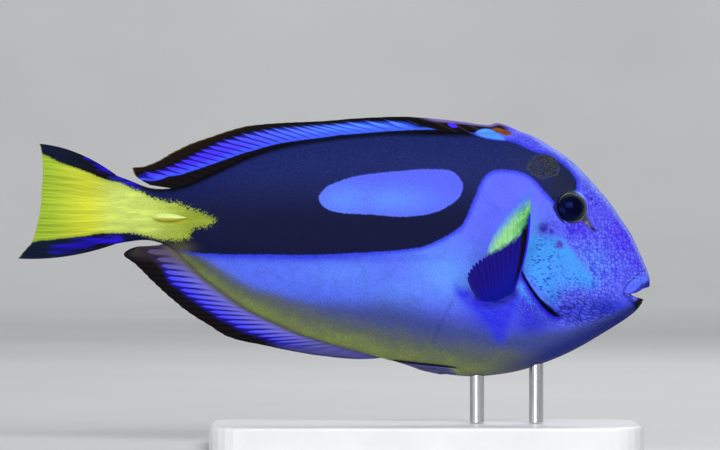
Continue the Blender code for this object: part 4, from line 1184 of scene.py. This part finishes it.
def caudal_place(across, up):
    root_x = -108.0
    share = across
    top, bottom = 94.8, 70.8
    root_z = top + (bottom - top) * share
    edge = along(CAUDAL_MARGIN, share.ravel()).reshape(*share.shape, 2)
    bow = CAUDAL_BOW[0] * (1 - share) ** 2 + CAUDAL_BOW[1] * share**2
    x = root_x + (edge[..., 0] - root_x) * up
    z = root_z + (edge[..., 1] - root_z) * up + 4 * bow * up * (1 - up)
    return np.stack([x, 0 * x, z], axis=-1)


def pectoral_place(side):
    (front_x, front_z), (rear_x, rear_z) = PECTORAL_BASE

    def place(across, up):
        arch = 4 * across * (1 - across)
        x = front_x + (rear_x - front_x) * across
        z = front_z + (rear_z - front_z) * across - PECTORAL_BASE_SAG * arch
        edge = along(PECTORAL_MARGIN, across.ravel()).reshape(*across.shape, 2)
        root = np.stack([x, flank(x, z), z], axis=-1)
        rise = np.hypot(edge[..., 0] - x, edge[..., 1] - z)
        tip = np.stack([edge[..., 0], root[..., 1] + rise * PECTORAL_FLARE, edge[..., 1]], axis=-1)
        way = (tip - root) / np.linalg.norm(tip - root, axis=-1)[..., None]
        point = root - way * 1.6 + (tip - root + way * 1.6) * up[..., None]
        point[..., 0] += 4 * PECTORAL_BOW * up * (1 - up) * (1 - across) ** 2
        point[..., 1] += PECTORAL_CUP * arch * up
        return point * (1, side, 1)

    return place


def pelvic_place(side):
    (upper_x, upper_z), (lower_x, lower_z) = PELVIC_ROOT

    def place(across, up):
        edge = along(PELVIC_MARGIN, across.ravel()).reshape(*across.shape, 2)
        x = (upper_x + (lower_x - upper_x) * across) * (1 - up) + edge[..., 0] * up
        z = (upper_z + (lower_z - upper_z) * across) * (1 - up) + edge[..., 1] * up
        lowest = belly_at(x) + 0.4
        off = -0.4 + 1.2 * step_up(up, 0.0, 0.25)
        return np.stack([x, side * (np.maximum(flank(x, np.maximum(z, lowest)), 0.3) + off), z], axis=-1)

    return place


def even(count):
    return [i / (count - 1) for i in range(count)]


# Markings of the fins, read from the picture in its pixels
DORSAL_BLUE = (
    (137, 173), (141, 171), (146, 169.6), (152, 169), (160, 167), (166, 164.8), (175.7, 160.5), (185.6, 155.5),
    (195.4, 150.3), (206.6, 144.8), (219.2, 139), (230.5, 135.3), (246, 130.8), (266, 127), (280, 125.2),
    (300, 123.6), (330, 121.6), (345, 120.2), (360, 119), (385, 118.6), (404, 118.8), (415.6, 122.2),
    (426.4, 126.6), (436, 129.2), (450, 132.5), (480, 140), (520, 155), (520, 300), (100, 300), (125, 185),
)
DORSAL_SHEATH = (
    (520, 122), (480, 126), (445, 129.2), (421, 129.8), (394, 130.9), (372, 132.6), (340, 135.2), (320, 138),
    (300, 140.3), (280, 143.4), (260, 148.5), (240, 154.5), (220, 161.5), (200, 168.5), (189, 172), (180, 175),
    (169.6, 176.5), (155, 180.8), (143, 180.2), (130, 178), (100, 60), (520, 60),
)
BLUE_SPOT = ((447.5, 124.5), (451, 122.8), (456, 124.8), (457.5, 127.2), (452, 127.6))
ANAL_INNER = (
    (154, 262), (161, 273), (166.5, 284), (177, 292), (184, 298.5), (192, 303.7), (201, 310.6), (210, 316),
    (217, 321.5), (228, 326.7), (237, 332.5), (252, 338), (266, 343), (281, 347.9), (300, 351.2),
    (340, 356), (384, 359.5), (384, 345), (300, 325), (240, 300), (200, 270), (170, 245), (150, 240), (140, 250),
)
PECTORAL_DEPTH = 28
PECTORAL_PALE = (
    (540, 180), (534, 212), (530, 214.5), (524, 228), (518.7, 235), (513.6, 240), (506.7, 244.5), (500, 248),
    (492, 252.5), (484, 255.5), (470, 260), (450, 250), (480, 200), (510, 170),
)
PECTORAL_PALE_EDGE = (
    (548, 190), (534, 195), (521, 205), (511.5, 214), (502.5, 225), (495, 235), (490.5, 242), (487, 251),
    (480, 264), (520, 270), (545, 230),
)
UPPER_VIOLET = (
    (86, 157), (96, 160), (112, 170), (128, 180), (140, 187), (130, 184.5), (112, 177.5), (100, 169), (90, 161.5),
)
LOWER_VIOLET = ((48, 250), (62, 244), (80, 240), (100, 236.5), (121, 236), (119, 242), (98, 246), (75, 251.5), (55, 254))
# Colours of the fins
FIN_BLACK = (0.004, 0.003, 0.004)
FIN_VIOLET = (0.06, 0.03, 0.95)
FIN_BLUE = (0.09, 0.24, 0.98)
FIN_BRIGHT = (0.045, 0.1, 0.98)
FIN_STRIPE_NAVY = (0.01, 0.006, 0.22)
FIN_STRIPE_BLUE = (0.03, 0.07, 0.75)
FIN_VIOLET_BRIGHT = (0.05, 0.045, 0.85)
FIN_VIOLET_GREY = (0.132, 0.126, 0.55)
FIN_BROWN_GREY = (0.085, 0.062, 0.066)
BASE_OLIVE = (0.11, 0.1, 0.075)
SPINE_BROWN = (0.05, 0.03, 0.035)
SPINE_LAVENDER = (0.2, 0.15, 0.42)
MARGIN_BROWN = (0.011, 0.006, 0.003)
EDGE_GOLD = (0.2, 0.16, 0.08)
TAIL_VIOLET = (0.009, 0.005, 0.27)
TAIL_BRIGHT = (0.015, 0.005, 0.47)
TAIL_TEAL = (0.003, 0.008, 0.026)
PECTORAL_VIOLET = (0.012, 0.005, 0.19)
PECTORAL_NAVY = (0.006, 0.008, 0.33)
PECTORAL_RAY = (0.014, 0.014, 0.4)
PECTORAL_GREEN = (0.09, 0.45, 0.12)
PECTORAL_LIME = (0.33, 0.78, 0.3)
PECTORAL_CYAN = (0.1, 0.2, 0.95)
PELVIC_GREY = (0.04, 0.042, 0.13)
PELVIC_LAVENDER = (0.085, 0.085, 0.23)


def fin_base(s, first, second, streak_scale):
    """Soft blotches of noise on a fin, between two colours."""
    streak = s.noise(streak_scale, 3.0, 0.6)
    return s.mix(s.ramp(streak, 0.3, 0.7), first, second)


def fin_edge(s, size):
    """A small unevenness for the edges of a fin's markings."""
    return s.times(s.math("SUBTRACT", s.noise(700.0, 3.0), 0.5), size)


def fin_finish(s, colour):
    bump = s.bump(s.noise(1800.0, 2.0), 0.2, 0.0001)
    return s.finish(colour, 0.5, bump, Specular_IOR_Level=0.03)


def stripes(s, depth, wide, thin, reach):
    """Dark stripes on the rays that taper from a fin's dark margin inwards: 1 on a stripe."""
    width = s.ramp(depth, 0.0, reach, wide, thin)
    past = s.math("SUBTRACT", s.attribute("gap"), width)
    return s.ramp(past, 0.09, -0.09)


def dorsal_material():
    s = Shade("dorsal_fin")
    up, across = s.attribute("up"), s.attribute("across")
    edge = fin_edge(s, 0.5)
    inside = s.math("ADD", s.attribute("inside"), edge)
    blue = s.mix(s.ramp(across, 0.85, 0.35), FIN_VIOLET, FIN_BLUE)
    blue = s.mix(s.ramp(s.attribute("sheath"), 2.6, 0.8, 0.0, 0.75), blue, FIN_BRIGHT)
    stripe = s.mix(s.ramp(across, 0.75, 0.4), FIN_STRIPE_NAVY, FIN_STRIPE_BLUE)
    stripe = s.mix(s.ramp(inside, 1.9, 0.6), stripe, FIN_BLACK)
    dark = s.times(stripes(s, inside, 0.56, 0.13, 3.0), s.ramp(s.attribute("sheath"), 0.0, 1.3))
    brown = s.mix(s.times(s.ramp(up, 0.55, 0.9), s.ramp(across, 0.5, 0.8), 0.7), FIN_BLACK, MARGIN_BROWN)
    colour = s.mix(s.ramp(inside, -0.1, 0.3), brown, s.mix(dark, blue, stripe))
    colour = s.mix(s.ramp(s.math("ADD", s.attribute("sheath"), edge), -0.25, 0.35), FIN_BLACK, colour)
    front = s.ramp(across, 0.19, 0.15)
    ribs = s.mix(s.times(s.attribute("ray"), 0.5), FIN_BLACK, SPINE_BROWN)
    colour = s.mix(s.times(front, s.ramp(inside, 0.4, -0.2)), colour, ribs)
    for name, tone in (("lens", LENS_BLUE), ("spot", FIN_VIOLET), ("brown", FOLD_BROWN)):
        colour = s.mix(s.ramp(s.attribute(name), -0.3, 0.4), colour, tone)
    colour = s.mix(s.times(s.ramp(up, 0.72, 0.93), front, 0.85), colour, SPINE_LAVENDER)
    colour = s.mix(s.ramp(across, 0.04, 0.015), colour, NAPE_BLUE)
    hair = s.times(s.ramp(up, 0.965, 0.995), s.ramp(across, 0.45, 0.7), 0.6)
    colour = s.mix(hair, colour, EDGE_GOLD)
    return fin_finish(s, colour)


def anal_material():
    s = Shade("anal_fin")
    up, across = s.attribute("up"), s.attribute("across")
    inside = s.math("ADD", s.attribute("inner"), fin_edge(s, 0.5))
    rear = s.ramp(across, 0.78, 0.95)
    blue = s.mix(s.ramp(up, 0.7, 0.3), FIN_VIOLET_BRIGHT, FIN_VIOLET_GREY)
    blue = s.mix(s.times(rear, 0.9), blue, FIN_BROWN_GREY)
    blue = s.mix(s.ramp(across, 0.36, 0.14, 0.0, 0.9), blue, PELVIC_LAVENDER)
    stripe = s.mix(s.ramp(inside, 1.8, 0.2), FIN_STRIPE_NAVY, FIN_BLACK)
    stripe = s.mix(rear, stripe, (0.025, 0.018, 0.03))
    dark = s.times(stripes(s, inside, 0.72, 0.17, 3.0), s.ramp(up, 0.16, 0.45), s.ramp(across, 0.12, 0.3, 0.3, 1.0))
    margin = s.mix(s.times(s.ramp(across, 0.86, 0.99), s.ramp(up, 1.0, 0.8), 0.5), FIN_BLACK, FIN_BROWN_GREY)
    margin = s.mix(s.ramp(across, 0.26, 0.1, 0.0, 0.8), margin, PELVIC_GREY)
    colour = s.mix(s.ramp(inside, -0.5, 0.5), margin, s.mix(dark, blue, stripe))
    colour = s.mix(s.times(s.ramp(up, 0.26, 0.14), 0.85), colour, BASE_OLIVE)
    return fin_finish(s, colour)


def caudal_material():
    s = Shade("caudal_fin")
    ray, up = s.attribute("ray"), s.attribute("up")
    lobe = s.mix(s.times(s.ramp(s.attribute("tail"), 0.36, 0.1), 0.9), FIN_BLACK, TAIL_TEAL)
    lobe = s.mix(s.times(ray, 0.4), lobe, TAIL_TEAL)
    colour = paint_tail(s, lobe)
    bright = s.times(ray, s.ramp(s.attribute("yellow"), 0.2, 1.2), s.ramp(up, 0.0, 0.3), 0.35)
    colour = s.mix(bright, colour, YELLOW_BRIGHT)
    colour = s.mix(s.times(s.ramp(up, 0.985, 1.0), 0.5), colour, YELLOW_DARK)
    return fin_finish(s, colour)


def pectoral_material():
    s = Shade("pectoral_fin")
    ray, up, across = s.attribute("ray"), s.attribute("up"), s.attribute("across")
    streak = s.noise(700.0, 2.0, 0.5, (1.0, 1.0, 0.08))
    edge = s.times(s.math("SUBTRACT", streak, 0.5), 2.0)
    dark = s.mix(s.ramp(up, 0.7, 0.1), PECTORAL_VIOLET, PECTORAL_NAVY)
    dark = s.mix(s.times(ray, s.ramp(up, 0.05, 0.3), 0.45), dark, PECTORAL_RAY)
    dark = s.mix(s.ramp(across, 0.84, 0.99, 0.0, 0.6), dark, (0.03, 0.03, 0.3))
    pale = s.mix(s.ramp(across, 0.06, 0.3), PECTORAL_GREEN, PECTORAL_LIME)
    pale = s.mix(s.ramp(streak, 0.42, 0.65, 0.0, 0.5), pale, (0.45, 0.9, 0.4))
    pale = s.mix(s.times(s.ramp(s.attribute("gap"), 0.14, 0.0), 0.4), pale, PECTORAL_GREEN)
    pale = s.mix(s.ramp(s.math("ADD", s.attribute("pale_edge"), s.times(edge, 0.4)), 2.8, -1.4), pale, PECTORAL_CYAN)
    pale_depth = s.math("ADD", s.attribute("pale"), edge)
    colour = s.mix(s.ramp(pale_depth, -0.9, 1.1), dark, pale)
    leading = s.times(s.ramp(across, 0.14, 0.08), s.ramp(pale_depth, 0.8, -1.0), s.ramp(up, 0.05, 0.3))
    colour = s.mix(leading, colour, FIN_BLACK)
    colour = s.mix(s.times(s.ramp(across, 0.04, 0.015), s.ramp(pale_depth, 0.8, -1.0)), colour, GLOW_BLUE)
    # Painted shade at the fin's root, where it meets the body.
    colour = s.mix(s.ramp(up, 0.12, 0.03), colour, ROOT_SHADE_NAVY)
    return fin_finish(s, colour)


def pelvic_material():
    s = Shade("pelvic_fin")
    ray, across = s.attribute("ray"), s.attribute("across")
    colour = fin_base(s, PELVIC_GREY, PELVIC_LAVENDER, 300.0)
    colour = s.mix(s.times(ray, 0.4), colour, LAVENDER)
    colour = s.mix(s.ramp(s.attribute("up"), 0.3, 0.04), colour, OLIVE)
    colour = s.mix(s.ramp(across, 0.3, 0.12), colour, NAVY)
    return fin_finish(s, colour)


def make_fins():
    folded = {
        "between": 12, "rows": 48, "notch": 0.008, "ragged": 0.004, "fringe": 0.0, "fork": 0.12, "ray": 0.22,
        "taper": 0.6, "joints": 0.2, "membrane": 0.16, "wave": 0.08, "sway": 0.3, "folds": 0.0,
    }
    dorsal = dict(folded, folds=0.55, zones={
        "inside": [from_picture(DORSAL_BLUE, 0)], "sheath": [from_picture(DORSAL_SHEATH, 0)],
        "lens": [from_picture(LENS, 0)], "spot": [from_picture(BLUE_SPOT, 0)], "brown": [from_picture(BROWN_FOLD, 0)],
    })
    dorsal_rays = smooth(DORSAL_RAYS, np.arange(DORSAL_RAYS[-1][0] + 1))
    make_fin(
        "fish_dorsal_fin", "dorsal_fin",
        folded_place(DORSAL_BASE, back_at, DORSAL_MARGIN, DORSAL_LEAN, -ROOT_SINK),
        dorsal_rays, dorsal, dorsal_material(),
    )
    anal = dict(folded, zones={"inner": [from_picture(ANAL_INNER, 0)]})
    make_fin(
        "fish_anal_fin", "anal_fin",
        folded_place(ANAL_BASE, belly_at, ANAL_MARGIN, ANAL_LEAN, ROOT_SINK),
        even(ANAL_RAYS), anal, anal_material(),
    )
    violet = [from_picture(UPPER_VIOLET, 0), from_picture(LOWER_VIOLET, 0)]
    caudal = dict(
        folded, rows=64, fork=0.2, ray=0.26, wave=0.03, sway=0.15, notch=0.004, ragged=0.002,
        zones={"yellow": [from_picture(WEDGE, 0)], "violet": violet},
    )
    make_fin(
        "fish_caudal_fin", "caudal_fin", caudal_place, even(CAUDAL_RAYS), caudal, caudal_material(),
    )
    pectoral_shade, pelvic_shade = pectoral_material(), pelvic_material()
    pectoral = dict(
        folded, rows=64, fork=0.18, ray=0.2, membrane=0.12, wave=0.06, sway=0.0, notch=0.01, fringe=0.075,
        zones={
            "pale": [from_picture(PECTORAL_PALE, PECTORAL_DEPTH)],
            "pale_edge": [from_picture(PECTORAL_PALE_EDGE, PECTORAL_DEPTH)],
        },
    )
    pelvic = dict(folded, between=14, rows=40, fork=0.2, ray=0.16, membrane=0.14, wave=0.05, sway=0.0)
    for name, side in (("left", 1), ("right", -1)):
        make_fin(
            f"fish_pectoral_fin_{name}", f"pectoral_fin_{name}", pectoral_place(side), even(PECTORAL_RAYS),
            pectoral, pectoral_shade,
        )
        make_fin(
            f"fish_pelvic_fin_{name}", f"pelvic_fin_{name}", pelvic_place(side), even(PELVIC_RAYS),
            pelvic, pelvic_shade,
        )


def spine_material():
    s = Shade("tail_spine")
    colour = s.mix(s.ramp(s.noise(500.0, 3.0, 0.6, (0.3, 1.0, 1.0)), 0.3, 0.7), (0.52, 0.66, 0.1), (0.72, 0.86, 0.3))
    # Painted shade: the blade's lower side is a darker ochre.
    colour = s.mix(s.ramp(s.attribute("upper"), 0.1, -0.6), colour, (0.46, 0.42, 0.02))
    return s.finish(colour, 0.35, s.bump(s.noise(1500.0), 0.2, 0.0001), Coat_Weight=0.2, Coat_Roughness=0.2)


def make_tail_spines():
    """The blade on each side of the tail, its point towards the head."""
    shade = spine_material()
    x, z = SPINE_CENTRE
    places = np.linspace(-0.5, 0.5, 48)
    knots = ((-0.5, 0.2), (-0.38, 0.75), (-0.15, 1.0), (0.1, 0.85), (0.3, 0.5), (0.44, 0.18), (0.5, 0.04))
    heights = smooth(knots, places)
    for name, side in (("left", 1), ("right", -1)):
        out = flank_normal(x, z, side)
        ahead = (Vector((1, 0, 0)) - out * out.x).normalized()
        up = out.cross(ahead) * side
        base = Vector((x, side * float(flank(x, z)), z))
        points = []
        for place, height in zip(places, heights):
            middle = base + ahead * SPINE_LENGTH * place + up * SPINE_HEIGHT * 0.12 * place
            for k in range(24):
                turn = 2 * math.pi * k / 24
                sharp = abs(math.sin(turn)) ** 1.3 * math.copysign(1, math.sin(turn))
                rise = up * sharp * SPINE_HEIGHT / 2 * height
                points.append(middle + rise + out * math.cos(turn) * SPINE_THICKNESS * math.sqrt(height))
        faces = grid_faces(len(places), 24, closed_columns=True)
        faces += [tuple(range(24)), tuple(reversed(range(len(points) - 24, len(points))))]
        mesh = mesh_of(f"fish_tail_spine_{name}", points, faces)
        outward(mesh)
        store(mesh, "upper", (points_of(mesh)[:, 2] - z) / (SPINE_HEIGHT / 2))
        blade = new_object(f"fish_tail_spine_{name}", mesh)
        mesh.materials.append(shade)
        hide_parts(f"tail_spine_{name}")
        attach(blade, BODY)


def dress_stand():
    """Gives the stand's own solids a satin paint and a brushed steel."""
    paint = Shade("stand_paint")
    speck = paint.noise(1400.0, 3.0)
    tone = paint.mix(paint.ramp(paint.noise(25.0), 0.3, 0.7), (0.72, 0.72, 0.725), (0.78, 0.78, 0.785))
    paint.finish(tone, paint.ramp(speck, 0.3, 0.7, 0.32, 0.44), paint.bump(speck, 0.15, 0.0001))
    steel = Shade("stand_steel")
    brushed = steel.noise(900.0, 3.0, 0.6, (1.0, 1.0, 0.03))
    steel.finish(
        steel.mix(steel.ramp(brushed, 0.3, 0.7), (0.48, 0.49, 0.5), (0.66, 0.67, 0.68)),
        steel.ramp(brushed, 0.3, 0.7, 0.22, 0.36), steel.bump(brushed, 0.15, 0.00005), Metallic=1.0,
    )
    for node, shade in (("stand_base", paint), ("stand_rod_front", steel), ("stand_rod_rear", steel)):
        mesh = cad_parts[node].data
        mesh.materials.clear()
        mesh.materials.append(shade.material)


def make_stage():
    """A pale floor that curves up into a backdrop."""
    rows = [(-4.2, 0.0), (3.0, 0.0)]
    bend, radius = (3.0, 1.0), 1.0
    rows += [
        (bend[0] + radius * math.sin(turn), bend[1] - radius * math.cos(turn))
        for turn in np.linspace(0.05, math.pi / 2, 24)
    ]
    rows.append((bend[0] + radius, 4.0))
    points = [(x / MM, y / MM, z / MM) for y, z in rows for x in (-4.6, 4.6)]
    floor = new_object("floor", mesh_of("floor", points, grid_faces(len(rows), 2)))
    shade = Shade("floor")
    tone = shade.mix(shade.ramp(shade.noise(3.0), 0.3, 0.7), (0.56, 0.565, 0.575), (0.6, 0.605, 0.61))
    floor.data.materials.append(shade.finish(tone, 0.6))


def area_light(name, place, target, size, power, colour=(1.0, 1.0, 1.0)):
    lamp = bpy.data.lights.new(name, "AREA")
    lamp.shape = "RECTANGLE"
    lamp.size, lamp.size_y = size
    lamp.energy = power
    lamp.color = colour
    body = bpy.data.objects.new(name, lamp)
    body.location = place
    body.rotation_euler = (Vector(target) - Vector(place)).to_track_quat("-Z", "Y").to_euler()
    bpy.context.scene.collection.objects.link(body)


KEY_POWER, FILL_POWER, BACK_POWER, BACKDROP_POWER, WORLD_LIGHT = 12.5, 9.0, 6.0, 26.0, 0.36


def light_and_camera():
    middle = (-0.02, 0.0, 0.07)
    area_light("key", (0.45, -1.15, 0.9), middle, (0.8, 0.6), KEY_POWER)
    area_light("fill", (-0.55, -1.25, 0.2), middle, (0.9, 0.6), FILL_POWER)
    area_light("back", (0.35, 0.9, 0.9), middle, (0.9, 0.5), BACK_POWER)
    area_light("backdrop", (0.0, 2.7, 2.2), (0.0, 3.5, 0.2), (3.0, 0.8), BACKDROP_POWER)
    world = bpy.data.worlds.new("studio")
    world.use_nodes = True
    world.node_tree.nodes["Background"].inputs["Color"].default_value = (0.95, 0.97, 1.0, 1.0)
    world.node_tree.nodes["Background"].inputs["Strength"].default_value = WORLD_LIGHT
    bpy.context.scene.world = world
    bpy.context.scene.view_settings.view_transform = "Standard"
    lens = bpy.data.cameras.new("camera")
    lens.sensor_width = 36.0
    lens.lens = lens.sensor_width * CAMERA_DISTANCE / (FRAME_PIXELS * PIXEL)
    lens.clip_start = 0.05
    camera = bpy.data.objects.new("camera", lens)
    x, z = from_picture(PICTURE_CENTRE, 0)
    camera.location = (x * MM, -CAMERA_DISTANCE * MM, z * MM)
    camera.rotation_euler = (math.pi / 2, 0, 0)
    bpy.context.scene.collection.objects.link(camera)
    bpy.context.scene.camera = camera


light_and_camera()
make_stage()
make_skin()
make_eyes()
make_fins()
make_tail_spines()
dress_stand()

bpy.context.view_layer.update()
